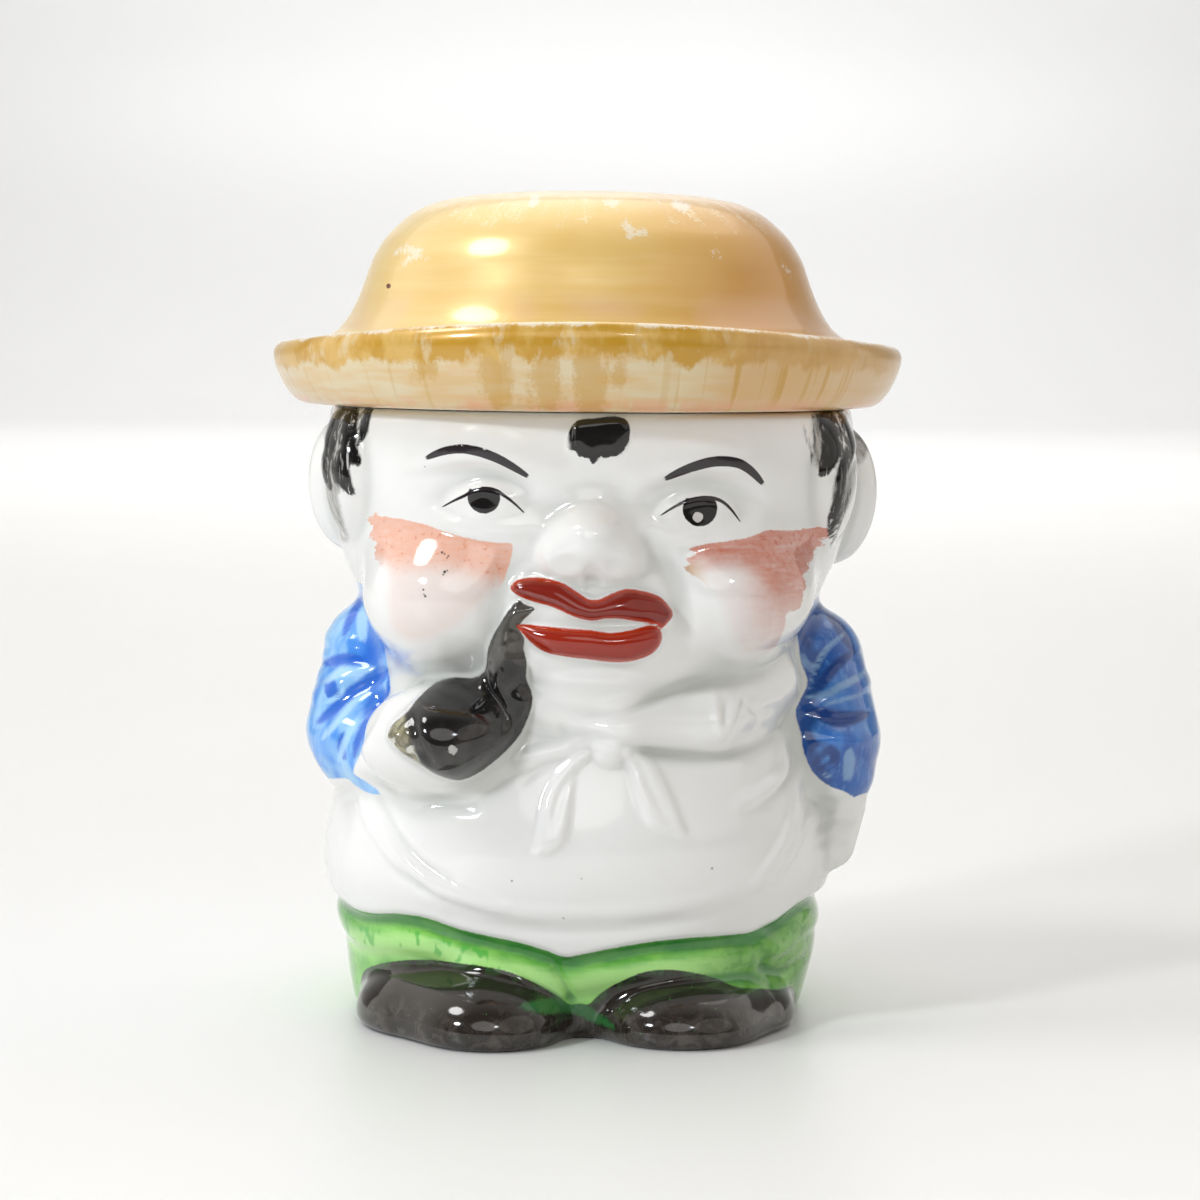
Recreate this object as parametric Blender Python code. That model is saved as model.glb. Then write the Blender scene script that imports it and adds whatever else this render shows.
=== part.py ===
"""Tobacco jar in glazed ceramic: a stout figure with a pipe is the pot, and its straw hat is the lid.

Two pieces, each one solid. The jar stands on its foot ring at z = 0 and faces -Y. The hat rests on the
jar's rim, and its collar hangs in the mouth. The origin is on the hat's axis, at the foot.
Driving dimensions are in metres. The figure's pose and carving are shares of its own height.
"""

import math
from dataclasses import dataclass

import bmesh
import bpy
import numpy as np

# Jar
JAR_HEIGHT = 0.100
WALL = 0.0040
FLOOR = 0.0055
RIM_WIDTH = 0.0042
RIM_ROUNDING = 0.0012
MOUTH_DEPTH = 0.0090
FOOT_WIDTH = 0.0070
FOOT_ROUNDING = 0.0016
FOOT_RECESS = 0.0010

# Hat
CROWN_RADIUS = 0.0400
CROWN_HEIGHT = 0.0250
BRIM_WIDTH = 0.0120
BRIM_THICKNESS = 0.0100
BRIM_SLANT = 0.0054
BRIM_WAVE = 0.0039
HAT_WALL = 0.0036
COLLAR_DEPTH = 0.0060
COLLAR_CLEARANCE = 0.0006
SEAT_GAP = 0.0003

# Faces of the solids
JAR_COLUMNS = 68
CAVITY_ROWS = 7
HAT_COLUMNS = 40
FRONT_CROWDING = 0.48
MARCH_STEPS = 40
MARCH_STRIDE = 0.8
EDGE_SHARES = (0.0, 0.35, 0.75)
SOFTENING = (0.4, 2.0, 3.2, 2.0, 0.4)

# Rings of the jar's skin: up to each share of its height, so many; the face has the closest
ROW_SPANS = ((0.19, 7), (0.42, 7), (0.87, 20), (1.0, 4))

# One hundredth of the figure's height, the unit of its pose and carving
UNIT = JAR_HEIGHT / 100.0
CORE_POWER = 2.2
CARVING_BLEND = 2.4

# Figure without its limbs: height, half width, depth in front, depth behind, and the centre's lean to +X
CORE = (
    (0.0, 37.2, 33.0, 33.5, -0.9),
    (6.0, 38.6, 34.6, 36.0, -0.7),
    (12.0, 40.1, 37.6, 38.2, -0.5),
    (18.0, 40.9, 39.6, 39.6, -1.1),
    (25.0, 42.6, 42.0, 40.6, -0.8),
    (33.0, 42.0, 42.2, 40.6, -0.4),
    (42.0, 39.8, 40.2, 39.2, -0.2),
    (50.0, 37.4, 38.0, 38.0, 0.2),
    (57.0, 36.6, 37.0, 37.6, 0.4),
    (64.0, 36.8, 38.2, 38.4, 0.5),
    (69.0, 38.2, 39.6, 39.8, 0.6),
    (76.0, 41.2, 41.0, 41.6, 0.7),
    (84.0, 43.2, 41.2, 42.6, 0.7),
    (92.0, 43.7, 41.8, 42.8, 0.6),
    (100.0, 42.8, 42.2, 41.8, 0.7),
)

# Crown of the hat from its top to the brim: shares of its radius and of its height
CROWN_PROFILE = (
    (0.0, 1.0),
    (0.25, 0.995),
    (0.46, 0.972),
    (0.65, 0.905),
    (0.785, 0.79),
    (0.865, 0.64),
    (0.915, 0.46),
    (0.958, 0.288),
    (1.0, 0.16),
    (1.06, 0.065),
)


@dataclass(frozen=True)
class Lump:
    """An ellipsoid of clay, turned about the Y axis, in hundredths of the figure's height."""

    centre: tuple
    radii: tuple
    turn: float = 0.0
    blend: float = CARVING_BLEND

    def distance(self, p):
        """Distance of the points p from the lump's skin, negative inside."""
        x, y, z = (p[i] - self.centre[i] for i in range(3))
        c, s = math.cos(math.radians(self.turn)), math.sin(math.radians(self.turn))
        a, b, d = ((x * c - z * s), y, (x * s + z * c))
        ra, rb, rd = self.radii
        near = np.sqrt((a / ra) ** 2 + (b / rb) ** 2 + (d / rd) ** 2)
        slope = np.sqrt((a / ra**2) ** 2 + (b / rb**2) ** 2 + (d / rd**2) ** 2)
        return near * (near - 1.0) / np.maximum(slope, 1e-6)


@dataclass(frozen=True)
class Limb:
    """A tapering round limb between two points; depth stretches it along Y."""

    start: tuple
    end: tuple
    start_radius: float
    end_radius: float
    depth: float = 1.0
    blend: float = CARVING_BLEND

    def distance(self, p):
        """Distance of the points p from the limb's skin, negative inside."""
        stretch = (1.0, 1.0 / self.depth, 1.0)
        a = [self.start[i] * stretch[i] for i in range(3)]
        run = [self.end[i] * stretch[i] - a[i] for i in range(3)]
        q = [p[i] * stretch[i] - a[i] for i in range(3)]
        along = sum(q[i] * run[i] for i in range(3)) / sum(r * r for r in run)
        along = np.clip(along, 0.0, 1.0)
        off = np.sqrt(sum((q[i] - along * run[i]) ** 2 for i in range(3)))
        return off - (self.start_radius + along * (self.end_radius - self.start_radius))


@dataclass(frozen=True)
class Stroke:
    """A raised or sunk stroke seen from the front, along points (x, z), with its half width and height."""

    points: tuple
    width: float
    height: float

    def rise(self, x, z):
        """Height of the stroke at the front view's places x, z."""
        off = np.full(np.shape(x), 1e9)
        for (ax, az), (bx, bz) in zip(self.points, self.points[1:]):
            rx, rz = bx - ax, bz - az
            along = np.clip(((x - ax) * rx + (z - az) * rz) / (rx * rx + rz * rz), 0.0, 1.0)
            off = np.minimum(off, np.hypot(x - ax - along * rx, z - az - along * rz))
        return self.height * bell(off / self.width)


@dataclass(frozen=True)
class Swell:
    """A raised or sunk oval seen from the front, at (x, z), with its half sizes and height."""

    centre: tuple
    radii: tuple
    height: float

    def rise(self, x, z):
        """Height of the oval at the front view's places x, z."""
        off = np.hypot((x - self.centre[0]) / self.radii[0], (z - self.centre[1]) / self.radii[1])
        return self.height * bell(off)


BODY_FORMS = (
    # Cheeks, and the muzzle with the chin
    Lump((-20.0, -24.4, 70.6), (15.6, 17.0, 13.2), blend=4.0),
    Lump((21.4, -24.4, 71.6), (15.4, 17.0, 12.4), blend=4.0),
    Lump((1.8, -25.6, 66.0), (20.0, 18.4, 15.8), blend=4.0),
    # Sleeves, on the shoulders, and the cuff of the one on the hip
    Limb((-35.4, -3.0, 59.4), (-36.4, -7.0, 46.6), 8.0, 9.7, depth=1.35, blend=3.4),
    Limb((37.2, -3.0, 57.8), (38.8, -7.0, 45.6), 9.2, 10.3, depth=1.35, blend=3.4),
    Lump((41.2, -8.0, 39.6), (6.8, 9.0, 5.6), blend=1.6),
    # Shoes and their toes
    Lump((-18.0, -19.5, 3.0), (18.8, 19.0, 10.4), turn=-3.0, blend=1.6),
    Lump((16.6, -18.5, 2.8), (18.2, 17.5, 9.4), turn=2.0, blend=1.6),
    Lump((-14.8, -33.0, 2.6), (12.2, 12.2, 8.6), blend=4.0),
    Lump((16.0, -31.0, 2.4), (12.6, 11.6, 7.8), blend=4.0),
)

CARVED_FORMS = (
    # Nose and its wings
    Lump((0.9, -39.4, 80.4), (7.2, 7.0, 6.0), blend=3.6),
    Lump((-3.9, -41.0, 78.6), (3.9, 3.8, 3.4), blend=2.4),
    Lump((5.7, -41.0, 78.2), (3.9, 3.8, 3.4), blend=2.4),
    # Ears
    Lump((-39.6, 5.0, 86.6), (7.3, 5.6, 11.6), turn=-2.0, blend=1.2),
    Lump((41.4, 5.0, 85.4), (7.5, 5.6, 12.0), turn=2.0, blend=1.2),
    # Hair at the temples
    Lump((-35.6, -15.0, 90.0), (7.2, 11.6, 12.6), blend=0.8),
    Lump((36.8, -15.0, 89.4), (7.2, 11.6, 12.6), blend=0.8),
    # Forearm, the hand under the pipe, and the hand on the hip
    Limb((-37.0, -13.0, 43.5), (-25.0, -29.6, 44.5), 6.4, 7.4),
    Lump((-21.5, -32.6, 47.6), (14.0, 9.0, 9.4), blend=2.0),
    Limb((41.4, -9.0, 34.8), (40.2, -11.5, 28.8), 5.3, 4.7, blend=1.4),
    # Pipe: bowl, shank and stem
    Lump((-20.6, -38.8, 49.6), (10.2, 6.4, 8.4), turn=-10.0, blend=0.8),
    Limb((-12.6, -38.4, 48.8), (-12.4, -40.0, 58.4), 4.2, 3.4, blend=1.2),
    Limb((-12.4, -40.4, 58.4), (-9.9, -43.2, 68.4), 3.2, 2.4, blend=1.6),
    # Rolled collar below the chin
    Limb((-6.0, -36.2, 54.0), (6.0, -36.4, 51.4), 3.2, 4.6),
    Limb((6.0, -36.4, 51.4), (19.0, -30.8, 51.6), 4.6, 5.6),
    Limb((19.0, -30.8, 51.6), (30.0, -19.6, 56.4), 5.6, 4.6),
)

FRONT_RELIEF = (
    # Eye sockets, the lids in them, the brows, and the root of the nose
    Swell((-16.0, 86.6), (11.0, 5.4), -1.6),
    Swell((18.0, 85.6), (11.0, 5.4), -1.6),
    Swell((-15.6, 85.8), (7.4, 3.6), 1.3),
    Swell((18.0, 84.8), (7.4, 3.6), 1.3),
    Stroke(((-24.0, 93.0), (-16.0, 94.0), (-9.0, 90.6)), 4.0, 0.7),
    Stroke(((12.0, 90.0), (18.0, 92.6), (26.0, 91.0)), 4.0, 0.7),
    Stroke(((-9.0, 84.6), (9.0, 84.6)), 3.4, -1.0),
    # Lips
    Stroke(((-8.8, 72.2), (-5.0, 71.9), (0.8, 69.9), (6.4, 70.6), (10.6, 70.2)), 3.2, 2.2),
    Stroke(((-7.6, 64.9), (0.0, 63.8), (9.4, 64.7)), 3.3, 2.2),
    # Tuft of hair
    Swell((1.9, 97.4), (5.6, 6.4), 1.1),
    # Bow: knot, left end and right end
    Swell((4.6, 46.4), (4.0, 3.2), 1.0),
    Stroke(((3.6, 45.6), (-2.4, 42.4), (-4.4, 37.0), (-5.6, 32.8)), 3.6, 1.3),
    Stroke(((5.4, 45.8), (9.0, 40.4), (13.2, 34.8)), 3.6, 1.4),
    # Folds of the smock
    Stroke(((-32.0, 36.4), (-26.0, 28.0), (-19.0, 24.6), (-11.0, 23.4)), 3.0, 0.9),
    Stroke(((-34.4, 37.0), (-31.6, 30.0), (-27.0, 24.4)), 2.6, 0.7),
    Stroke(((31.0, 48.0), (31.8, 42.6), (28.4, 38.4)), 2.8, 0.9),
    Stroke(((33.0, 40.0), (32.0, 33.0), (27.6, 26.6)), 2.6, 0.8),
)

# Smock's lower edge in front: place to the right and height; level behind
HEM_EDGE = (
    (-44.0, 20.4),
    (-40.7, 19.6),
    (-37.4, 18.5),
    (-34.0, 18.7),
    (-29.7, 19.5),
    (-25.1, 19.5),
    (-19.4, 18.1),
    (-14.3, 17.2),
    (-9.3, 16.3),
    (-5.6, 15.2),
    (-2.4, 14.2),
    (-0.2, 14.6),
    (4.4, 15.6),
    (10.7, 16.6),
    (17.0, 17.0),
    (23.3, 16.9),
    (27.2, 16.9),
    (31.2, 18.1),
    (36.0, 20.4),
    (40.0, 20.6),
    (44.0, 20.2),
)
HEM_BACK = 20.0
HEM_STEP = 1.0
TROUSER_ROLL = 0.9
TROUSER_ROLL_DROP = 4.2
TROUSER_ROLL_WIDTH = 3.4


def bell(off):
    """A smooth bump: 1 at no offset, 0 from an offset of 1 on."""
    return (1.0 - np.minimum(off, 1.0) ** 3) ** 2


def smooth_step(value, width):
    """A smooth rise from 0 to 1 as value goes from -width to width."""
    share = np.clip((value / width + 1.0) / 2.0, 0.0, 1.0)
    return share * share * (3.0 - 2.0 * share)


def curve_through(knots, at):
    """Values of the smooth curve through rows (place, value, value ...) at the given places."""
    table = np.array(knots, float)
    places, values = table[:, 0], table[:, 1:]
    slopes = np.gradient(values, places, axis=0)
    at = np.clip(np.asarray(at, float), places[0], places[-1])
    low = np.clip(np.searchsorted(places, at, side="right") - 1, 0, len(places) - 2)
    step = places[low + 1] - places[low]
    t = ((at - places[low]) / step)[..., None]
    step = step[..., None]
    return (
        values[low] * (1 + 2 * t) * (1 - t) ** 2
        + slopes[low] * step * t * (1 - t) ** 2
        + values[low + 1] * t * t * (3 - 2 * t)
        + slopes[low + 1] * step * t * t * (t - 1)
    )


def core_distance(p):
    """Rough distance of the points p from the figure without its limbs, negative inside."""
    half, front, back, lean = np.moveaxis(curve_through(CORE, p[2]), -1, 0)
    depth = np.where(p[1] < 0.0, front, back)
    across, deep = np.abs(p[0] - lean) / half, np.abs(p[1]) / depth
    reach = (across**CORE_POWER + deep**CORE_POWER) ** (1.0 / CORE_POWER)
    return (reach - 1.0) * np.minimum(half, depth)


def clay_distance(p, forms):
    """Distance of the points p from the core and the forms, joined with soft fillets."""
    d = core_distance(p)
    for form in forms:
        e = form.distance(p)
        share = np.clip(0.5 + (d - e) / (2.0 * form.blend), 0.0, 1.0)
        d = d * (1.0 - share) + e * share - form.blend * share * (1.0 - share)
    return d


def skin_radius(angles, levels, forms, inset=0.0):
    """Radius of the skin from the jar's axis at these angles and levels, moved in by inset."""
    radius = np.full(np.shape(angles), 60.0)
    for _ in range(MARCH_STEPS):
        p = (radius * np.cos(angles), radius * np.sin(angles), levels)
        radius = radius - MARCH_STRIDE * (clay_distance(p, forms) + inset)
    return radius


def hem_height(x, front):
    """Height of the smock's lower edge: level behind, with a dip at the middle in front."""
    return HEM_BACK + (curve_through(HEM_EDGE, x)[..., 0] - HEM_BACK) * front


def relief(radius, angles, levels):
    """Low carving to add to the radius of the skin: the face, the bow, the folds and the hem."""
    x, y = radius * np.cos(angles), radius * np.sin(angles)
    front = smooth_step(-y, 8.0)
    rise = sum(form.rise(x, levels) for form in FRONT_RELIEF) * front
    below = hem_height(x, front) - levels
    rise = rise - HEM_STEP * smooth_step(below, 0.8) * (1.0 - smooth_step(below - 9.0, 6.0))
    return rise + TROUSER_ROLL * bell(np.abs(below - TROUSER_ROLL_DROP) / TROUSER_ROLL_WIDTH)


def softened(grid, axis):
    """The grid's mean over two places either way along an axis, as glaze softens carving."""
    pad = [(2, 2) if i == axis else (0, 0) for i in range(2)]
    wide = np.pad(grid, pad, mode="wrap" if axis == 1 else "edge")
    size = grid.shape[axis]
    parts = [np.take(wide, np.arange(start, start + size), axis=axis) for start in range(5)]
    return sum(weight * part for weight, part in zip(SOFTENING, parts)) / sum(SOFTENING)


def carved_rings(heights, columns):
    """Radii of the finished skin on rings at these heights, from a grid twice as close."""
    places = np.arange(len(heights))
    close = np.interp(np.arange(0.0, len(heights) - 0.5, 0.5), places, heights)
    angles, levels = np.meshgrid(column_angles(2 * columns), close / UNIT)
    radius = skin_radius(angles, levels, BODY_FORMS + CARVED_FORMS)
    radius = radius + relief(radius, angles, levels)
    return softened(softened(radius, 0), 1)[::2, ::2] * UNIT


def column_angles(count):
    """Angles of the columns, from the middle of the back round, closer together in front."""
    even = np.linspace(-math.pi, math.pi, count, endpoint=False)
    return -math.pi / 2.0 + even - FRONT_CROWDING * np.sin(even)


def join_rings(bm, rings):
    """Faces between rings of equally many vertices, each ring inside or above the one before."""
    for low, high in zip(rings, rings[1:]):
        for i in range(len(low)):
            j = (i + 1) % len(low)
            bm.faces.new((low[i], low[j], high[j], high[i]))


def cap_ring(bm, ring, height, outward):
    """A fan from a ring to a point on its middle; outward says that the ring runs round its face."""
    middle = bm.verts.new((sum(v.co.x for v in ring) / len(ring), 0.0, height))
    for i, vertex in enumerate(ring):
        after = ring[(i + 1) % len(ring)]
        bm.faces.new((vertex, after, middle) if outward else (after, vertex, middle))


def finish_piece(name, bm, colour, roughness, coat):
    """A named object from a mesh, smooth but for its sharp edges, with its own glaze."""
    mesh = bpy.data.meshes.new(name)
    bm.to_mesh(mesh)
    bm.free()
    mesh.shade_smooth()
    mesh.set_sharp_from_angle(angle=math.radians(75.0))
    piece = bpy.data.objects.new(name, mesh)
    bpy.context.scene.collection.objects.link(piece)
    glaze = bpy.data.materials.new(name + "_glaze")
    glaze.use_nodes = True
    shader = glaze.node_tree.nodes["Principled BSDF"]
    shader.inputs["Base Color"].default_value = (*colour, 1.0)
    shader.inputs["Roughness"].default_value = roughness
    shader.inputs["Metallic"].default_value = 0.0
    shader.inputs["Coat Weight"].default_value = coat
    mesh.materials.append(glaze)
    return piece


def mouth_radius():
    """Radius of the jar's mouth: the head at the rim less the rim's width."""
    return CORE[-1][1] * UNIT - RIM_WIDTH


def ring_of(bm, angles, radii, height):
    """A ring of vertices at one height, in metres."""
    return [
        bm.verts.new((r * math.cos(a), r * math.sin(a), height))
        for a, r in zip(angles, np.broadcast_to(radii, angles.shape))
    ]


def skin_rings():
    """Heights of the rings of the skin, and how far the rounded foot and rim draw each one in."""
    rings = []
    for share in EDGE_SHARES:
        turn = share * math.pi / 2.0
        rings.append((FOOT_ROUNDING * (1.0 - math.cos(turn)), FOOT_ROUNDING * (1.0 - math.sin(turn))))
    low = FOOT_ROUNDING
    for share, count in ROW_SPANS:
        high = share * JAR_HEIGHT if share < 1.0 else JAR_HEIGHT - RIM_ROUNDING
        rings += [(height, 0.0) for height in np.linspace(low, high, count, endpoint=share == 1.0)]
        low = high
    for share in reversed(EDGE_SHARES):
        turn = share * math.pi / 2.0
        drop = RIM_ROUNDING * (1.0 - math.cos(turn))
        rings.append((JAR_HEIGHT - drop, RIM_ROUNDING * (1.0 - math.sin(turn))))
    return np.array(rings)


def build_jar():
    """The pot: the figure's skin, its rim, the cavity behind it, and the foot ring below."""
    bm = bmesh.new()
    angles = column_angles(JAR_COLUMNS)

    heights, draws = skin_rings().T
    skin = carved_rings(heights, JAR_COLUMNS) - draws[:, None]
    rings = [ring_of(bm, angles, radii, height) for radii, height in zip(skin, heights)]

    mouth = mouth_radius()
    throat = JAR_HEIGHT - MOUTH_DEPTH
    rings.append(ring_of(bm, angles, mouth + RIM_ROUNDING, JAR_HEIGHT))
    rings.append(ring_of(bm, angles, mouth, JAR_HEIGHT - RIM_ROUNDING))
    rings.append(ring_of(bm, angles, mouth, throat))

    depths = np.linspace(throat - WALL, FLOOR + WALL, CAVITY_ROWS)
    turn, level = np.meshgrid(angles, depths / UNIT)
    cavity = skin_radius(turn, level, BODY_FORMS, inset=WALL / UNIT) * UNIT
    rings += [ring_of(bm, angles, radii, height) for radii, height in zip(cavity, depths)]
    rings.append(ring_of(bm, angles, cavity[-1] - 0.35 * WALL, FLOOR + 0.35 * WALL))
    rings.append(ring_of(bm, angles, cavity[-1] - WALL, FLOOR))
    join_rings(bm, rings)
    cap_ring(bm, rings[-1], FLOOR, outward=True)

    inner = skin[0] - FOOT_WIDTH
    recess = ring_of(bm, angles, inner - FOOT_RECESS, FOOT_RECESS)
    join_rings(bm, [recess, ring_of(bm, angles, inner, 0.0), rings[0]])
    cap_ring(bm, recess, FOOT_RECESS, outward=False)
    return finish_piece("jar_body", bm, (0.90, 0.89, 0.86), 0.12, 0.6)


def crown_points(seat):
    """Outer profile of the crown, from its top down to the brim, as (radius, height) in metres."""
    base = seat + BRIM_THICKNESS
    return [(CROWN_RADIUS * r, base + CROWN_HEIGHT * z) for r, z in CROWN_PROFILE]


def inward(points, distance):
    """The profile moved in by a wall's thickness, square to itself."""
    moved = []
    for i, (r, z) in enumerate(points):
        before, after = points[max(i - 1, 0)], points[min(i + 1, len(points) - 1)]
        run = np.array([after[0] - before[0], after[1] - before[1]])
        run = run / np.hypot(*run)
        moved.append((max(r + run[1] * distance, 0.0), z - run[0] * distance))
    return moved


def build_hat():
    """The lid: crown, wavy brim, flat seat below, and the collar that hangs in the jar's mouth."""
    bm = bmesh.new()
    seat = JAR_HEIGHT + SEAT_GAP
    brim_top = seat + BRIM_THICKNESS
    brim_radius = CROWN_RADIUS + BRIM_WIDTH
    collar_radius = mouth_radius() - COLLAR_CLEARANCE
    bore = collar_radius - HAT_WALL
    collar_end = seat - COLLAR_DEPTH

    crown = crown_points(seat)
    lip = BRIM_THICKNESS * 0.2
    brim = [
        (brim_radius - 3.0 * lip, brim_top - 0.2 * lip),
        (brim_radius - 0.9 * lip, brim_top),
        (brim_radius - 0.3 * lip, brim_top - 0.3 * lip),
        (brim_radius, brim_top - lip),
        (brim_radius - 0.16 * BRIM_SLANT, brim_top - 0.46 * BRIM_THICKNESS),
        (brim_radius - 0.40 * BRIM_SLANT, brim_top - 0.70 * BRIM_THICKNESS),
        (brim_radius - 0.72 * BRIM_SLANT, seat + 0.10 * BRIM_THICKNESS),
        (brim_radius - BRIM_SLANT, seat),
    ]
    below = [
        (collar_radius, seat),
        (collar_radius, collar_end + 0.2 * HAT_WALL),
        (collar_radius - 0.2 * HAT_WALL, collar_end),
        (bore + 0.2 * HAT_WALL, collar_end),
        (bore, collar_end + 0.2 * HAT_WALL),
    ]
    hollow = [(r, z) for r, z in inward(crown[::2], HAT_WALL) if z > brim_top]
    profile = crown[1:] + brim + below + [(bore, brim_top)] + hollow[:0:-1]

    even = np.linspace(0.0, 2.0 * math.pi, HAT_COLUMNS, endpoint=False)
    wave = BRIM_WAVE * np.sin(even) ** 2
    rings = []
    for index, (r, z) in enumerate(profile):
        outside = index < len(crown) - 1 + len(brim)
        spread = min(max((r - CROWN_RADIUS) / (0.35 * BRIM_WIDTH), 0.0), 1.0) if outside else 0.0
        climb = min(max((z - seat) / BRIM_THICKNESS, 0.0), 1.0)
        rings.append(
            [
                bm.verts.new((r * math.cos(a), r * math.sin(a), z + w * spread * climb))
                for a, w in zip(even, wave)
            ]
        )
    join_rings(bm, rings[::-1])
    cap_ring(bm, rings[0], crown[0][1], outward=True)
    cap_ring(bm, rings[-1], hollow[0][1], outward=False)
    return finish_piece("hat_lid", bm, (0.62, 0.40, 0.15), 0.16, 0.8)


def main():
    """Builds both pieces in an empty scene."""
    for old in list(bpy.data.objects):
        bpy.data.objects.remove(old)
    build_jar()
    build_hat()


main()
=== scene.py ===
"""Looks of the tobacco jar: the cast and painted pot, its gold lustre hat, and a small pale studio.

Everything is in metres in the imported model's frame: the foot at z = 0, the figure facing -Y. The figure's
carving and painting are in hundredths of the pot's height, as seen from the front: x to the right, z up.
"""

import logging
import math
from dataclasses import dataclass, field
from enum import Enum
from typing import Any, Sequence

import bpy
import numpy as np
from mathutils import Matrix, Vector


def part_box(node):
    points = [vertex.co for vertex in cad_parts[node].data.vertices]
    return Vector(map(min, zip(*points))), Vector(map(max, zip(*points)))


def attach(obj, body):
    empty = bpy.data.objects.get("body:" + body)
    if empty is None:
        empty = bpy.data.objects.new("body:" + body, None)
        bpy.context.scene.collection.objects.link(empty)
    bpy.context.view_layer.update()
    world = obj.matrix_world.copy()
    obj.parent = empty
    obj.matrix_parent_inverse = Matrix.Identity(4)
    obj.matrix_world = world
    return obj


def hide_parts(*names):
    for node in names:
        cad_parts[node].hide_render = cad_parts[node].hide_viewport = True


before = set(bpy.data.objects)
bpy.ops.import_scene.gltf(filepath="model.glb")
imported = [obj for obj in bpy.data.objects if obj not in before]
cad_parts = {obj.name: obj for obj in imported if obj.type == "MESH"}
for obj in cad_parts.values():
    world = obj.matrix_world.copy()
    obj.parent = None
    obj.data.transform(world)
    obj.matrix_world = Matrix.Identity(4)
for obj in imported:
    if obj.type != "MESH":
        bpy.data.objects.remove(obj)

logging.basicConfig(level=logging.INFO, format="%(message)s")
log = logging.getLogger("tobacco_jar")

POT_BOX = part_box("jar_body")
HAT_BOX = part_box("hat_lid")
POT_HEIGHT = POT_BOX[1][2] - POT_BOX[0][2]
UNIT = POT_HEIGHT / 100.0

Grid = np.ndarray
Places = tuple[Grid, Grid, Grid]
Point = tuple[float, float]
Place = tuple[float, float, float]
Colour = tuple[float, float, float]


class Finish(Enum):
    """The material slot of each part of a clay sheet."""

    SKIN = 0
    INSIDE = 1
    FOOT = 2


def ease(value: Grid, low: float, high: float) -> Grid:
    """A smooth rise from 0 at low to 1 at high.

    Args:
        value: The numbers to ease.
        low: Where the rise starts.
        high: Where it ends; it may be the smaller one.

    Returns:
        Numbers from 0 to 1.
    """
    share = np.clip((value - low) / (high - low), 0.0, 1.0)
    return share * share * (3.0 - 2.0 * share)


def bell(off: Grid) -> Grid:
    """A smooth bump: 1 at no offset, 0 from an offset of 1 on."""
    return (1.0 - np.minimum(np.abs(off), 1.0) ** 3) ** 2


def dome(inside: Grid, width: float) -> Grid:
    """A rounded rise from 0 at an outline to 1 at width inside it."""
    share = np.clip(inside / width, 0.0, 1.0)
    return np.sqrt(1.0 - (1.0 - share) ** 2)


def curve_through(knots: Sequence[Sequence[float]], at: Grid) -> Grid:
    """Values of the smooth curve through knots.

    Args:
        knots: Rows of a place and its values, by rising place.
        at: The places that are asked for.

    Returns:
        The values, along a new last axis.
    """
    table = np.array(knots, float)
    places, values = table[:, 0], table[:, 1:]
    slopes = np.gradient(values, places, axis=0)
    at = np.clip(np.asarray(at, float), places[0], places[-1])
    low = np.clip(np.searchsorted(places, at, side="right") - 1, 0, len(places) - 2)
    step = places[low + 1] - places[low]
    t = ((at - places[low]) / step)[..., None]
    step = step[..., None]
    return (
        values[low] * (1 + 2 * t) * (1 - t) ** 2
        + slopes[low] * step * t * (1 - t) ** 2
        + values[low + 1] * t * t * (3 - 2 * t)
        + slopes[low + 1] * step * t * t * (t - 1)
    )


def smooth_line(points: Sequence[Point], closed: bool, steps: int = 6) -> Grid:
    """Close points on the smooth curve through a few.

    Args:
        points: The curve's own points.
        closed: Whether the curve comes back to its first point.
        steps: Points for each span.

    Returns:
        Rows of x and z.
    """
    p = np.array(points, float)
    count = len(p)
    spans = count if closed else count - 1
    out = []
    for i in range(spans):
        if closed:
            a, b, c, d = (p[(i + k) % count] for k in (-1, 0, 1, 2))
        else:
            a, b, c, d = (p[min(max(i + k, 0), count - 1)] for k in (-1, 0, 1, 2))
        for t in np.linspace(0.0, 1.0, steps, endpoint=False):
            out.append(
                0.5
                * (2 * b + (c - a) * t + (2 * a - 5 * b + 4 * c - d) * t**2 + (3 * b - a - 3 * c + d) * t**3)
            )
    if not closed:
        out.append(p[-1])
    return np.array(out)


@dataclass(frozen=True)
class Lump:
    """An ellipsoid of clay, turned about the Y axis by turn degrees."""

    centre: Place
    radii: Place
    turn: float = 0.0
    blend: float = 2.4

    def distance(self, p: Places) -> Grid:
        """Distance of points from the lump's skin.

        Args:
            p: The points.

        Returns:
            Distances, negative inside.
        """
        x, y, z = (p[i] - self.centre[i] for i in range(3))
        c, s = math.cos(math.radians(self.turn)), math.sin(math.radians(self.turn))
        a, d = x * c - z * s, x * s + z * c
        ra, rb, rd = self.radii
        near = np.sqrt((a / ra) ** 2 + (y / rb) ** 2 + (d / rd) ** 2)
        slope = np.sqrt((a / ra**2) ** 2 + (y / rb**2) ** 2 + (d / rd**2) ** 2)
        return near * (near - 1.0) / np.maximum(slope, 1e-6)


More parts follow.
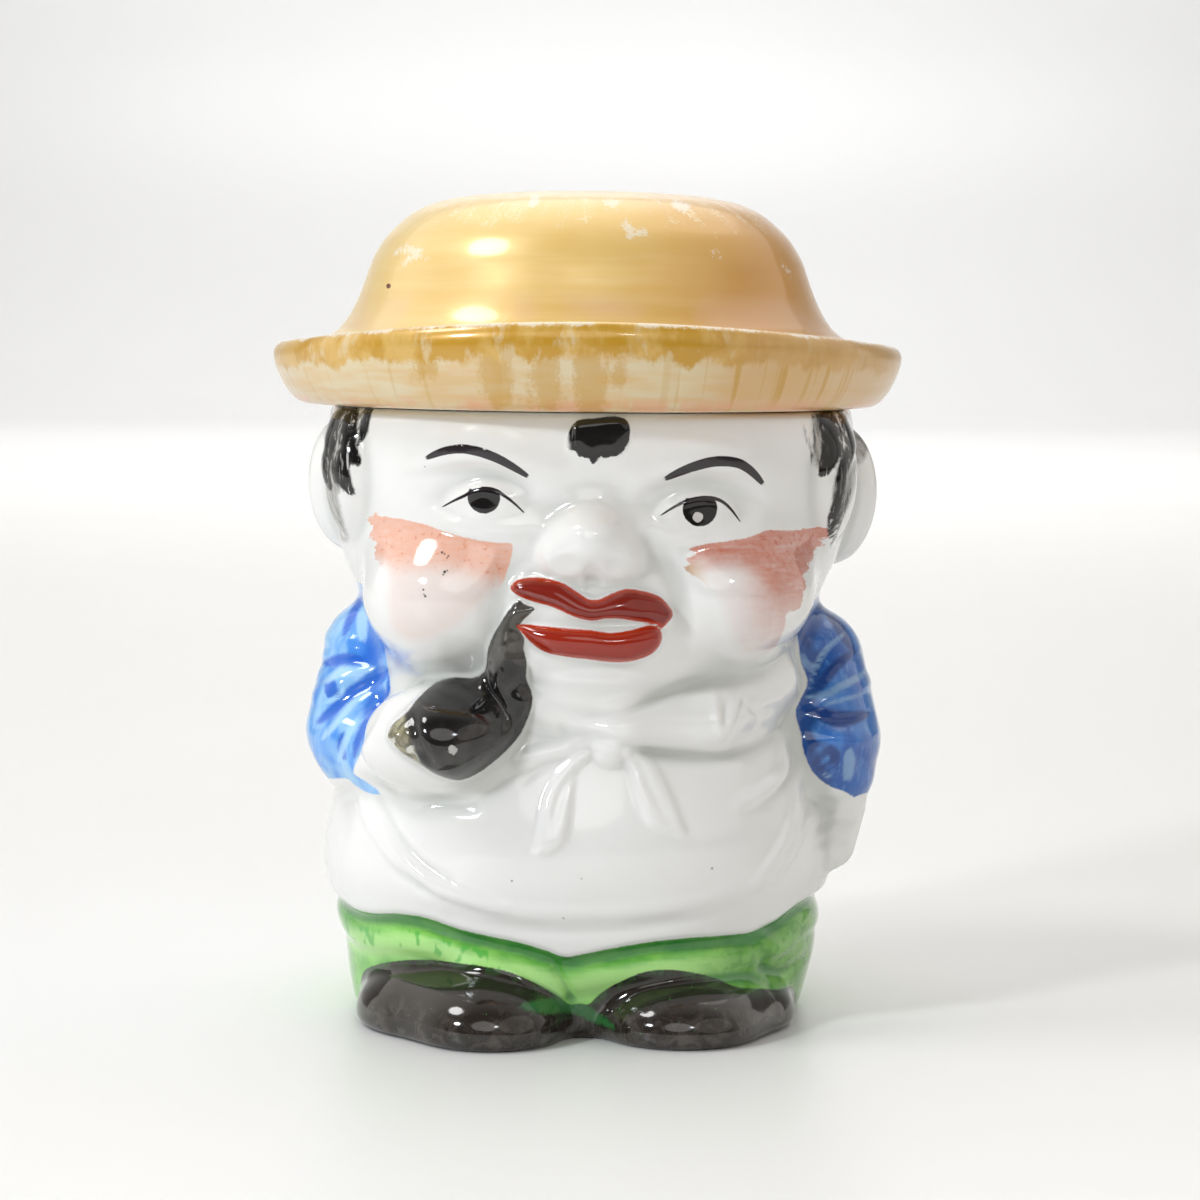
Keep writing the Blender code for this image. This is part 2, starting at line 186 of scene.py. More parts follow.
@dataclass(frozen=True)
class Limb:
    """A tapering round limb between two points; depth stretches it along Y."""

    start: Place
    end: Place
    start_radius: float
    end_radius: float
    depth: float = 1.0
    blend: float = 2.4

    def distance(self, p: Places) -> Grid:
        """Distance of points from the limb's skin.

        Args:
            p: The points.

        Returns:
            Distances, negative inside.
        """
        stretch = (1.0, 1.0 / self.depth, 1.0)
        a = [self.start[i] * stretch[i] for i in range(3)]
        run = [self.end[i] * stretch[i] - a[i] for i in range(3)]
        q = [p[i] * stretch[i] - a[i] for i in range(3)]
        along = sum(q[i] * run[i] for i in range(3)) / sum(r * r for r in run)
        along = np.clip(along, 0.0, 1.0)
        off = np.sqrt(sum((q[i] - along * run[i]) ** 2 for i in range(3)))
        return off - (self.start_radius + along * (self.end_radius - self.start_radius))


@dataclass(frozen=True)
class Stroke:
    """A line seen from the front, raised or sunk: its points, half width and height."""

    points: tuple[Point, ...]
    width: float
    height: float = 0.0

    def across(self, x: Grid, z: Grid) -> tuple[Grid, Grid]:
        """Where places lie beside the line.

        Args:
            x: Places to the right.
            z: Places upwards.

        Returns:
            The offset from the line, positive on its left, and the share of its length from 0 to 1.
        """
        line = smooth_line(self.points, closed=False)
        lengths = np.hypot(*np.diff(line, axis=0).T)
        starts = np.concatenate([[0.0], np.cumsum(lengths)])
        best = np.full(np.shape(x), 1e9)
        signed, share = best.copy(), np.zeros(np.shape(x))
        for i in range(len(line) - 1):
            ax, az = line[i]
            rx, rz = line[i + 1] - line[i]
            raw = ((x - ax) * rx + (z - az) * rz) / (rx * rx + rz * rz)
            along = np.clip(raw, 0.0, 1.0)
            off = np.hypot(x - ax - along * rx, z - az - along * rz)
            side = np.where(rx * (z - az) - rz * (x - ax) >= 0.0, 1.0, -1.0)
            nearer = off < best
            best = np.where(nearer, off, best)
            signed = np.where(nearer, side * off, signed)
            share = np.where(nearer, (starts[i] + along * lengths[i]) / starts[-1], share)
        return signed, share

    def near(self, x: Grid, z: Grid, reach: float) -> Grid:
        """Which places are no further than reach from the line's own box."""
        xs, zs = (np.array([p[i] for p in self.points]) for i in (0, 1))
        return (x > xs.min() - reach) & (x < xs.max() + reach) & (z > zs.min() - reach) & (z < zs.max() + reach)

    def rise(self, x: Grid, z: Grid) -> Grid:
        """Height of the line at places, tapering at both its ends.

        Args:
            x: Places to the right.
            z: Places upwards.

        Returns:
            Heights, negative where the line is sunk.
        """
        near = self.near(x, z, self.width + 1.0)
        out = np.zeros(np.shape(x))
        off, share = self.across(x[near], z[near])
        out[near] = self.height * bell(off / self.width) * (0.35 + 0.65 * bell(2.0 * share - 1.0))
        return out


@dataclass(frozen=True)
class Mark(Stroke):
    """A brush mark: a stroke that swells to its half width and ends in points, or in a blunt end."""

    blunt: float = 0.0

    def inside(self, x: Grid, z: Grid) -> Grid:
        """Distance inside the mark's edge.

        Args:
            x: Places to the right.
            z: Places upwards.

        Returns:
            Distances, negative outside and never below -3.
        """
        near = self.near(x, z, self.width + 3.0)
        out = np.full(np.shape(x), -3.0)
        off, share = self.across(x[near], z[near])
        swell = np.sqrt(np.clip(4.0 * share * (1.0 - share), 0.0, 1.0))
        swell = np.where(share > 0.5, self.blunt + (1.0 - self.blunt) * swell, swell)
        out[near] = np.maximum(self.width * swell - np.abs(off), -3.0)
        return out


def marks_inside(marks: Sequence[Mark], x: Grid, z: Grid) -> Grid:
    """Distance inside the nearest of several marks."""
    return np.max([mark.inside(x, z) for mark in marks], axis=0)


@dataclass(frozen=True)
class Swell:
    """An oval seen from the front, raised or sunk: its centre, half sizes and height."""

    centre: Point
    radii: Point
    height: float

    def rise(self, x: Grid, z: Grid) -> Grid:
        """Height of the oval at places."""
        off = np.hypot((x - self.centre[0]) / self.radii[0], (z - self.centre[1]) / self.radii[1])
        return self.height * bell(off)


@dataclass(frozen=True)
class Outline:
    """A smooth closed outline seen from the front."""

    points: tuple[Point, ...]
    reach: float = 5.0

    def inside(self, x: Grid, z: Grid) -> Grid:
        """Distance inside the outline.

        Args:
            x: Places to the right.
            z: Places upwards.

        Returns:
            Distances, negative outside and never below -reach.
        """
        line = smooth_line(self.points, closed=True)
        low, high = line.min(0) - self.reach, line.max(0) + self.reach
        near = (x > low[0]) & (x < high[0]) & (z > low[1]) & (z < high[1])
        px, pz = x[near], z[near]
        best = np.full(px.shape, 1e9)
        odd = np.zeros(px.shape, bool)
        for (ax, az), (bx, bz) in zip(line, np.roll(line, -1, axis=0)):
            rx, rz = bx - ax, bz - az
            along = np.clip(((px - ax) * rx + (pz - az) * rz) / (rx * rx + rz * rz + 1e-12), 0.0, 1.0)
            best = np.minimum(best, np.hypot(px - ax - along * rx, pz - az - along * rz))
            if az != bz:
                odd ^= ((az > pz) != (bz > pz)) & (px < rx * (pz - az) / rz + ax)
        out = np.full(np.shape(x), -self.reach)
        out[near] = np.maximum(np.where(odd, best, -best), -self.reach)
        return out


@dataclass(frozen=True)
class Pose:
    """The figure's clay: its core by height, its limbs and head forms, and how softly they join."""

    core_power: float = 2.2
    first_radius: float = 60.0
    rounds: int = 34
    stride: float = 0.82
    core: tuple[tuple[float, ...], ...] = (
        (0.0, 37.2, 33.0, 33.5, -0.9),
        (6.0, 38.6, 34.6, 36.0, -0.7),
        (12.0, 40.1, 37.6, 38.2, -0.5),
        (18.0, 40.9, 39.6, 39.6, -1.1),
        (25.0, 42.6, 42.0, 40.6, -0.8),
        (33.0, 42.0, 42.2, 40.6, -0.4),
        (42.0, 39.8, 40.2, 39.2, -0.2),
        (50.0, 37.4, 38.0, 38.0, 0.2),
        (57.0, 36.6, 37.0, 37.6, 0.4),
        (64.0, 36.8, 38.2, 38.4, 0.5),
        (69.0, 38.2, 39.6, 39.8, 0.6),
        (76.0, 41.2, 41.0, 41.6, 0.7),
        (84.0, 43.2, 41.2, 42.6, 0.7),
        (92.0, 43.7, 41.8, 42.8, 0.6),
        (100.0, 42.8, 42.2, 41.8, 0.7),
    )
    cheeks: tuple[Lump, ...] = (
        Lump((-20.0, -24.4, 70.6), (15.6, 17.0, 13.2), blend=4.0),
        Lump((21.4, -24.4, 71.6), (15.4, 17.0, 12.4), blend=4.0),
        Lump((1.8, -25.6, 66.0), (20.0, 18.4, 15.8), blend=4.0),
    )
    sleeves: tuple[Limb | Lump, ...] = (
        Limb((-35.4, -3.0, 59.4), (-36.4, -7.0, 46.6), 8.0, 9.7, depth=1.35, blend=3.4),
        Limb((37.2, -3.0, 57.8), (38.8, -7.0, 45.6), 9.2, 10.3, depth=1.35, blend=3.4),
        Lump((41.2, -8.0, 39.6), (6.8, 9.0, 5.6), blend=1.6),
    )
    shoes: tuple[Lump, ...] = (
        Lump((-18.0, -19.5, 3.0), (18.8, 19.0, 10.4), turn=-3.0, blend=1.6),
        Lump((16.6, -18.5, 2.8), (18.2, 17.5, 9.4), turn=2.0, blend=1.6),
        Lump((-14.8, -33.0, 2.6), (12.2, 12.2, 8.6), blend=4.0),
        Lump((16.0, -31.0, 2.4), (12.6, 11.6, 7.8), blend=4.0),
    )
    nose: tuple[Lump, ...] = (
        Lump((0.9, -39.8, 80.4), (5.8, 6.8, 5.8), blend=3.6),
        Lump((-3.3, -40.7, 78.0), (3.5, 3.8, 3.0), blend=2.6),
        Lump((5.1, -40.7, 77.8), (3.5, 3.8, 3.0), blend=2.6),
    )
    ears: tuple[Lump, ...] = (
        Lump((-39.6, 5.0, 86.6), (7.3, 5.6, 11.6), turn=-2.0, blend=1.2),
        Lump((41.4, 5.0, 85.4), (7.5, 5.6, 12.0), turn=2.0, blend=1.2),
    )
    hair: tuple[Lump, ...] = (
        Lump((-35.6, -15.0, 90.0), (7.2, 11.6, 12.6), blend=0.8),
        Lump((36.8, -15.0, 89.4), (7.2, 11.6, 12.6), blend=0.8),
    )
    hands: tuple[Lump | Limb, ...] = (
        Limb((-37.0, -13.0, 43.5), (-25.0, -29.6, 44.5), 6.4, 7.4),
        Lump((-21.5, -32.6, 47.6), (14.0, 9.0, 9.4), blend=2.0),
        Limb((41.4, -9.0, 34.8), (40.2, -11.5, 28.8), 5.3, 4.7, blend=1.4),
    )
    collar: tuple[Limb, ...] = (
        Limb((-6.0, -36.2, 54.0), (6.0, -36.4, 51.4), 3.2, 4.6),
        Limb((6.0, -36.4, 51.4), (19.0, -30.8, 51.6), 4.6, 5.6),
        Limb((19.0, -30.8, 51.6), (30.0, -19.6, 56.4), 5.6, 4.6),
    )

    def hollow_forms(self) -> tuple[Lump | Limb, ...]:
        """The forms that the cavity follows."""
        return self.cheeks + self.sleeves + self.shoes

    def skin_forms(self) -> tuple[Lump | Limb, ...]:
        """All forms of the outside."""
        return self.hollow_forms() + self.nose + self.ears + self.hair + self.hands + self.collar

    def core_distance(self, p: Places) -> Grid:
        """Rough distance of points from the core.

        Args:
            p: The points.

        Returns:
            Distances, negative inside.
        """
        half, front, back, lean = np.moveaxis(curve_through(self.core, p[2]), -1, 0)
        depth = np.where(p[1] < 0.0, front, back)
        across, deep = np.abs(p[0] - lean) / half, np.abs(p[1]) / depth
        reach = (across**self.core_power + deep**self.core_power) ** (1.0 / self.core_power)
        return (reach - 1.0) * np.minimum(half, depth)

    def radius(self, angles: Grid, levels: Grid, forms: Sequence[Lump | Limb], inset: float = 0.0) -> Grid:
        """Radius of the joined clay from the axis.

        Args:
            angles: Angles round the axis.
            levels: Heights.
            forms: What joins the core.
            inset: How far inside the skin to stay.

        Returns:
            The radius for each angle and level.
        """
        radius = np.full(np.shape(angles), self.first_radius)
        cos, sin = np.cos(angles), np.sin(angles)
        for _ in range(self.rounds):
            p = (radius * cos, radius * sin, levels)
            d = self.core_distance(p)
            for form in forms:
                e = form.distance(p)
                share = np.clip(0.5 + (d - e) / (2.0 * form.blend), 0.0, 1.0)
                d = d * (1.0 - share) + e * share - form.blend * share * (1.0 - share)
            radius = radius - self.stride * (d + inset)
        return radius


@dataclass(frozen=True)
class Carving:
    """Low relief on the clay, as the mould gives it, and the outlines that relief and paint share."""

    upper_lip: Outline = Outline((
        (-11.6, 72.6), (-10.8, 73.8), (-8.6, 74.4), (-6.2, 74.4), (-3.6, 73.8), (-1.4, 72.6), (0.5, 71.4),
        (2.2, 71.3), (4.2, 72.2), (6.5, 72.9), (9.3, 72.5), (11.6, 71.7), (13.2, 70.1), (13.8, 68.7),
        (12.9, 67.5), (12.0, 66.7), (11.0, 67.4), (8.1, 67.9), (5.3, 68.3), (3.2, 68.3), (1.6, 68.0),
        (0.2, 68.1), (-2.0, 68.7), (-4.8, 69.9), (-7.7, 70.6), (-10.3, 71.5),
    ))
    lower_lip: Outline = Outline((
        (-10.6, 67.0), (-8.8, 67.2), (-6.1, 67.0), (-2.9, 66.8), (0.9, 66.6), (4.2, 66.2), (7.2, 66.6),
        (10.3, 67.3), (11.7, 66.6), (12.1, 65.3), (11.6, 63.8), (10.1, 62.5), (7.2, 61.6), (4.4, 61.5),
        (0.9, 61.9), (-2.9, 62.3), (-5.7, 62.8), (-7.8, 63.9), (-9.4, 65.5),
    ))
    pipe: Outline = Outline((
        (-10.4, 70.8), (-9.2, 70.2), (-7.7, 69.7), (-8.3, 68.9), (-9.7, 67.5), (-10.0, 66.3), (-9.3, 64.9),
        (-9.4, 63.1), (-8.9, 61.2), (-9.0, 58.4), (-8.2, 56.4), (-8.0, 54.7), (-8.6, 52.4), (-9.8, 49.7),
        (-11.7, 47.4), (-14.2, 45.2), (-16.4, 43.6), (-19.0, 42.5), (-21.2, 42.8), (-23.4, 43.8),
        (-25.0, 45.0), (-27.5, 46.4), (-29.4, 48.2), (-30.4, 49.4), (-29.9, 51.1), (-28.6, 52.3),
        (-27.3, 53.5), (-26.3, 54.8), (-25.1, 56.0), (-23.3, 57.2), (-20.7, 57.9), (-17.6, 58.0),
        (-15.8, 59.1), (-15.3, 60.5), (-15.1, 62.7), (-14.4, 64.8), (-13.3, 66.8), (-12.1, 68.8),
    ))
    pipe_height: float = 4.6
    pipe_edge: float = 5.2
    pipe_carving: tuple[Stroke | Swell, ...] = (
        # Bowl, the groove round its foot, the groove behind its rim, the nick of the left tip
        Swell((-20.2, 50.4), (7.6, 7.0), 1.3),
        Stroke(
            ((-14.8, 60.6), (-15.2, 58.1), (-14.6, 56.2), (-13.4, 54.4), (-12.6, 52.2), (-13.0, 50.2), (-14.4, 48.2)),
            0.9, -1.1,
        ),
        Stroke(((-26.4, 54.0), (-26.2, 51.7), (-25.6, 49.6), (-24.6, 47.6), (-23.2, 45.6)), 0.8, -0.9),
        Stroke(((-28.8, 50.6), (-27.4, 49.0), (-26.0, 47.2)), 0.6, -0.7),
        # Ridge of the stem and the drip of paint beside it
        Stroke(((-11.0, 69.4), (-12.6, 66.4), (-12.4, 62.4), (-11.2, 58.6)), 1.1, 0.5),
        Stroke(((-8.9, 62.0), (-7.9, 60.2), (-7.6, 58.0)), 0.6, 0.35),
    )
    tuft: Outline = Outline((
        (-2.9, 94.4), (-2.9, 96.0), (-2.6, 97.3), (-1.9, 98.4), (-1.0, 99.0), (1.5, 99.3), (4.2, 99.6),
        (6.0, 99.2), (6.8, 98.0), (6.8, 96.6), (6.6, 95.5), (5.5, 93.9), (4.6, 93.4), (3.7, 93.3), (3.0, 93.0),
        (2.3, 93.2), (1.6, 92.6), (1.0, 92.3), (0.5, 92.9), (-0.2, 93.1), (-1.0, 93.4), (-1.9, 94.2),
    ))
    bow_ends: tuple[Outline, ...] = (
        Outline((
            (1.6, 46.8), (-0.8, 44.2), (-1.5, 41.4), (-1.7, 38.7), (-2.1, 35.4), (-2.8, 32.8), (-5.0, 31.0),
            (-7.6, 31.4), (-7.0, 35.2), (-6.0, 40.4), (-3.6, 44.6), (-0.6, 47.0),
        )),
        Outline((
            (6.3, 47.2), (7.2, 43.4), (8.2, 40.0), (9.6, 36.6), (11.2, 35.2), (13.6, 34.6), (16.2, 34.2),
            (15.2, 37.4), (13.8, 40.8), (11.8, 44.6), (9.2, 47.4), (7.4, 48.0),
        )),
    )
    bow_rise: float = 0.95
    bow_edge: float = 2.3
    tuft_rise: float = 0.8
    tuft_edge: float = 1.6
    strokes: tuple[Stroke | Swell, ...] = (
        # Brows, eye sockets, lids, the pouch below each eye, and the root of the nose
        Stroke(((-27.0, 92.0), (-16.0, 94.4), (-7.0, 91.0)), 4.6, 0.6),
        Stroke(((10.0, 90.4), (18.5, 93.0), (29.0, 89.6)), 4.6, 0.6),
        Swell((-16.0, 87.6), (11.5, 5.2), -1.3),
        Swell((18.0, 86.6), (11.5, 5.2), -1.3),
        Swell((-15.8, 86.2), (7.6, 3.8), 1.6),
        Swell((18.0, 84.9), (7.6, 3.8), 1.6),
        Stroke(((-28.0, 89.2), (-22.1, 90.6), (-17.4, 91.1), (-12.6, 90.2), (-8.5, 88.1)), 1.3, -0.45),
        Stroke(((9.0, 87.0), (13.4, 89.2), (18.4, 90.0), (23.4, 89.0), (28.0, 86.0)), 1.3, -0.45),
        Stroke(((-22.4, 85.0), (-18.8, 86.9), (-15.9, 88.1), (-12.7, 87.1), (-9.5, 84.5)), 0.9, 0.4),
        Stroke(((11.7, 84.2), (15.4, 86.3), (19.3, 86.9), (22.6, 85.2), (24.2, 83.1)), 0.9, 0.4),
        Stroke(((-25.0, 83.6), (-16.0, 81.8), (-8.4, 82.4)), 1.8, 0.5),
        Stroke(((9.6, 82.0), (18.0, 81.0), (27.0, 82.4)), 1.8, 0.5),
        Stroke(((-13.0, 84.8), (0.0, 85.0), (9.0, 84.8)), 2.6, -0.5),
        # Nostrils, the groove below the nose, the folds beside the mouth, the chin
        Swell((-3.1, 76.9), (2.8, 1.9), -0.55),
        Swell((5.3, 76.5), (2.8, 1.9), -0.55),
        Stroke(((1.2, 76.0), (1.4, 72.4)), 1.7, -0.5),
        Stroke(((-8.8, 80.4), (-12.4, 75.0), (-14.2, 69.4), (-13.4, 63.4)), 2.6, -0.6),
        Stroke(((10.4, 79.8), (13.6, 75.4), (15.6, 70.0), (15.2, 63.6)), 2.6, -0.7),
        Stroke(((-7.0, 68.2), (1.0, 67.4), (10.0, 68.0)), 1.2, -0.5),
        Stroke(((-6.0, 60.6), (2.0, 60.2), (9.0, 60.4)), 1.8, -0.6),
        Swell((2.4, 57.0), (10.0, 4.2), 0.8),
        # Groove below the chin, the collar's roll, its lower edge and its two pleats
        Stroke(
            ((-6.0, 53.6), (0.0, 52.6), (6.0, 53.2), (11.0, 55.2), (16.0, 57.0), (22.0, 57.4), (28.0, 58.0)), 1.6, -0.8
        ),
        Stroke(((0.0, 50.4), (7.0, 50.2), (13.0, 50.6), (19.0, 50.2), (25.0, 51.0), (30.0, 53.0)), 3.6, 0.7),
        Stroke(
            (
                (-3.0, 50.4), (2.6, 49.2), (6.7, 47.9), (12.2, 46.5), (19.4, 45.7), (25.3, 45.9), (30.7, 47.8),
                (33.0, 50.0),
            ),
            1.3, -1.1,
        ),
        Stroke(((20.5, 56.2), (20.8, 52.6), (21.2, 48.8)), 0.7, 0.75),
        Stroke(((24.9, 55.6), (23.1, 52.4), (21.4, 48.8)), 0.7, 0.75),
        Stroke(((22.6, 55.6), (22.0, 52.8), (21.4, 50.4)), 0.8, -0.4),
        Stroke(((25.6, 54.6), (28.0, 52.4), (31.0, 52.6)), 1.2, -0.5),
        # Knot and loop of the bow, and the pleats of its ends
        Swell((4.4, 47.0), (3.6, 2.6), 1.1),
        Stroke(((-11.5, 44.0), (-8.3, 46.2), (-3.3, 47.4), (1.7, 48.8)), 1.5, 0.6),
        Stroke(((-9.6, 42.2), (-6.6, 44.4), (-3.0, 45.6)), 1.0, -0.4),
        Stroke(((8.0, 46.0), (10.6, 41.0), (13.4, 36.2)), 0.9, -0.45),
        Stroke(((-1.4, 44.4), (-3.6, 40.0), (-4.6, 34.4)), 1.1, -0.45),
        # Folds of the smock, and the waist line where the belly overhangs its skirt
        Stroke(((-33.9, 36.4), (-31.0, 32.6), (-27.6, 28.7), (-23.7, 25.6), (-19.3, 23.9), (-12.4, 22.4)), 1.7, 0.85),
        Stroke(((-35.9, 36.4), (-33.7, 32.4), (-31.0, 29.0), (-27.0, 25.4)), 1.2, 0.8),
        Stroke(((-32.8, 37.4), (-29.4, 32.4), (-25.4, 28.6), (-20.5, 26.2)), 1.0, -0.7),
        Stroke(((-35.0, 33.8), (-32.4, 30.0), (-29.0, 26.4), (-24.0, 23.8)), 1.0, -0.6),
        Stroke(((-34.4, 40.6), (-29.0, 39.8), (-23.0, 38.6), (-17.4, 38.0)), 1.7, -0.8),
        Stroke(((31.8, 47.4), (32.2, 43.4), (29.9, 40.5), (24.9, 38.2)), 1.6, 1.0),
        Stroke(((33.2, 46.0), (33.4, 42.0), (31.0, 38.8), (26.4, 36.6)), 1.1, -0.5),
        Stroke(((34.4, 41.8), (34.0, 35.6), (31.7, 30.4), (27.3, 24.9)), 1.5, 1.0),
        Stroke(((35.0, 39.6), (33.0, 32.0), (29.6, 26.4)), 0.9, -0.5),
        Stroke(((35.8, 34.2), (33.1, 29.3), (30.3, 25.5)), 1.2, 0.7),
        Stroke(
            (
                (-24.0, 23.4), (-17.4, 22.0), (-10.5, 21.3), (-2.5, 21.0), (6.2, 21.3), (14.3, 22.1), (21.9, 23.4),
                (28.0, 26.0),
            ),
            2.4, 0.40,
        ),
        Stroke(((-20.0, 20.6), (-10.5, 19.4), (-2.5, 19.0), (6.2, 19.4), (14.3, 20.2), (24.0, 21.8)), 2.0, -0.40),
        # Folds of both sleeves
        Stroke(((-44.0, 57.0), (-42.1, 57.4), (-39.6, 58.3), (-35.1, 58.3)), 1.2, -0.8),
        Stroke(((-43.6, 61.4), (-40.0, 61.2), (-35.6, 61.0)), 1.6, 0.5),
        Stroke(((-44.0, 47.6), (-42.0, 49.6), (-38.3, 53.1), (-35.7, 54.8), (-32.4, 57.0)), 1.4, -1.1),
        Stroke(((-44.0, 52.0), (-40.4, 54.9), (-35.6, 57.0)), 1.7, 0.8),
        Stroke(((-37.3, 43.6), (-36.1, 47.1), (-34.1, 50.6), (-32.3, 53.4)), 1.2, -0.9),
        Stroke(((-41.4, 43.6), (-39.5, 48.2), (-36.0, 52.2)), 1.6, 0.8),
        Stroke(((36.0, 53.6), (37.6, 57.4), (39.5, 60.6), (42.8, 62.8)), 1.2, -0.9),
        Stroke(((38.4, 54.8), (41.0, 58.4), (44.4, 60.6)), 1.5, 0.7),
        Stroke(((34.8, 52.4), (38.3, 53.4), (41.7, 54.4), (47.5, 55.2)), 1.4, 0.9),
        Stroke(((36.0, 51.0), (38.6, 50.2), (41.6, 49.5), (46.5, 49.8)), 1.5, -1.2),
        Stroke(((36.8, 46.6), (40.2, 47.2), (43.6, 46.4), (47.6, 47.0)), 1.3, 0.7),
        Stroke(((36.4, 47.6), (37.6, 43.4), (40.0, 40.2)), 1.1, -0.7),
        Stroke(((41.2, 45.2), (41.4, 42.6), (42.2, 40.0)), 1.0, -0.8),
        Stroke(((44.9, 45.0), (45.2, 42.6), (45.2, 40.2)), 0.9, -0.7),
        # Fingers of the hand on the hip
        Stroke(((36.6, 37.6), (38.8, 36.2), (42.0, 36.4)), 1.0, -0.5),
        Stroke(((38.4, 31.4), (41.6, 32.8), (44.6, 32.6)), 1.0, -0.7),
        Stroke(((38.2, 29.0), (41.4, 29.8), (43.8, 29.4)), 0.9, -0.4),
        # Folds of the trousers
        Stroke(((-4.9, 13.4), (-3.7, 11.2), (-2.4, 8.7), (-1.3, 6.1)), 1.0, -0.8),
        Stroke(((28.4, 14.0), (30.2, 10.2), (33.4, 8.9), (37.0, 10.0)), 1.3, -0.8),
        Stroke(((29.4, 17.2), (32.4, 16.4), (36.0, 17.6)), 1.2, -0.5),
        Stroke(((29.6, 15.6), (32.0, 13.0), (36.0, 12.6)), 1.5, 0.6),
    )
    hem_knots: tuple[Point, ...] = (
        (-44.0, 20.4), (-40.7, 19.6), (-37.4, 18.5), (-34.0, 18.7), (-29.7, 19.5), (-25.1, 19.5), (-19.4, 18.1),
        (-14.3, 17.2), (-9.3, 16.3), (-5.6, 15.2), (-2.4, 14.2), (-0.2, 14.6), (4.4, 15.6), (10.7, 16.6),
        (17.0, 17.0), (23.3, 16.9), (27.2, 16.9), (31.2, 18.1), (36.0, 20.4), (40.0, 20.6), (44.0, 20.2),
    )
    hem_back: float = 20.0
    hem_step: float = 1.1
    roll_rise: float = 0.9
    roll_drop: float = 4.6
    roll_width: float = 2.8
    lip_rise: float = 1.7
    lip_edge: float = 1.9
    head_radius: float = 43.0
    lock_width: float = 5.2
    lock_rise: float = 0.5

    def hem(self, x: Grid, y: Grid) -> Grid:
        """Height of the smock's lower edge: level behind, with a dip at the middle in front."""
        front = ease(-y, -8.0, 8.0)
        return self.hem_back + (curve_through(self.hem_knots, x)[..., 0] - self.hem_back) * front

    def locks(self, angles: Grid, levels: Grid) -> Grid:
        """Place across the locks of hair, in lock widths, from the angle and height."""
        swirl = 1.9 * np.sin(levels / 5.2 + 2.0 * angles) + 0.9 * np.sin(levels / 2.7 - 3.0 * angles)
        return (angles * self.head_radius + swirl) / self.lock_width

    def rise(self, radius: Grid, angles: Grid, levels: Grid, hair: Grid, marks: Grid) -> Grid:
        """Height of all relief above the clay.

        Args:
            radius: Radius of the clay.
            angles: Angles round the axis.
            levels: Heights.
            hair: Distance inside the hair's edge.
            marks: Distance inside the painted locks at the temples.

        Returns:
            What to add to the radius.
        """
        x, y = radius * np.cos(angles), radius * np.sin(angles)
        front = ease(-y, -6.0, 4.0)
        pipe = self.pipe.inside(x, levels)
        broad = self.pipe_height * dome(pipe, self.pipe_edge) * (0.45 + 0.55 * ease(levels, 70.0, 57.0)) * front
        x = (radius + broad) * np.cos(angles)
        total = sum(stroke.rise(x, levels) for stroke in self.strokes + self.pipe_carving)
        for lip in (self.upper_lip, self.lower_lip):
            total = total + self.lip_rise * dome(lip.inside(x, levels), self.lip_edge)
        for end in self.bow_ends:
            total = total + self.bow_rise * dome(end.inside(x, levels), self.bow_edge)
        total = total + self.tuft_rise * dome(self.tuft.inside(x, levels), self.tuft_edge)
        total = broad + total * front
        below = self.hem(x, y) - levels
        total = total - self.hem_step * ease(below, -0.5, 0.7) * (1.0 - ease(below, 3.0, 15.0))
        total = total + self.roll_rise * bell((below - self.roll_drop) / self.roll_width)
        wave = np.abs(np.sin(math.pi * self.locks(angles, levels)))
        behind = ease(y, -6.0, 4.0)
        total = total + self.lock_rise * ease(hair, 0.0, 1.5) * (0.4 + wave**0.7) * behind
        return total + self.lock_rise * dome(marks, 0.9) * (1.0 - behind)


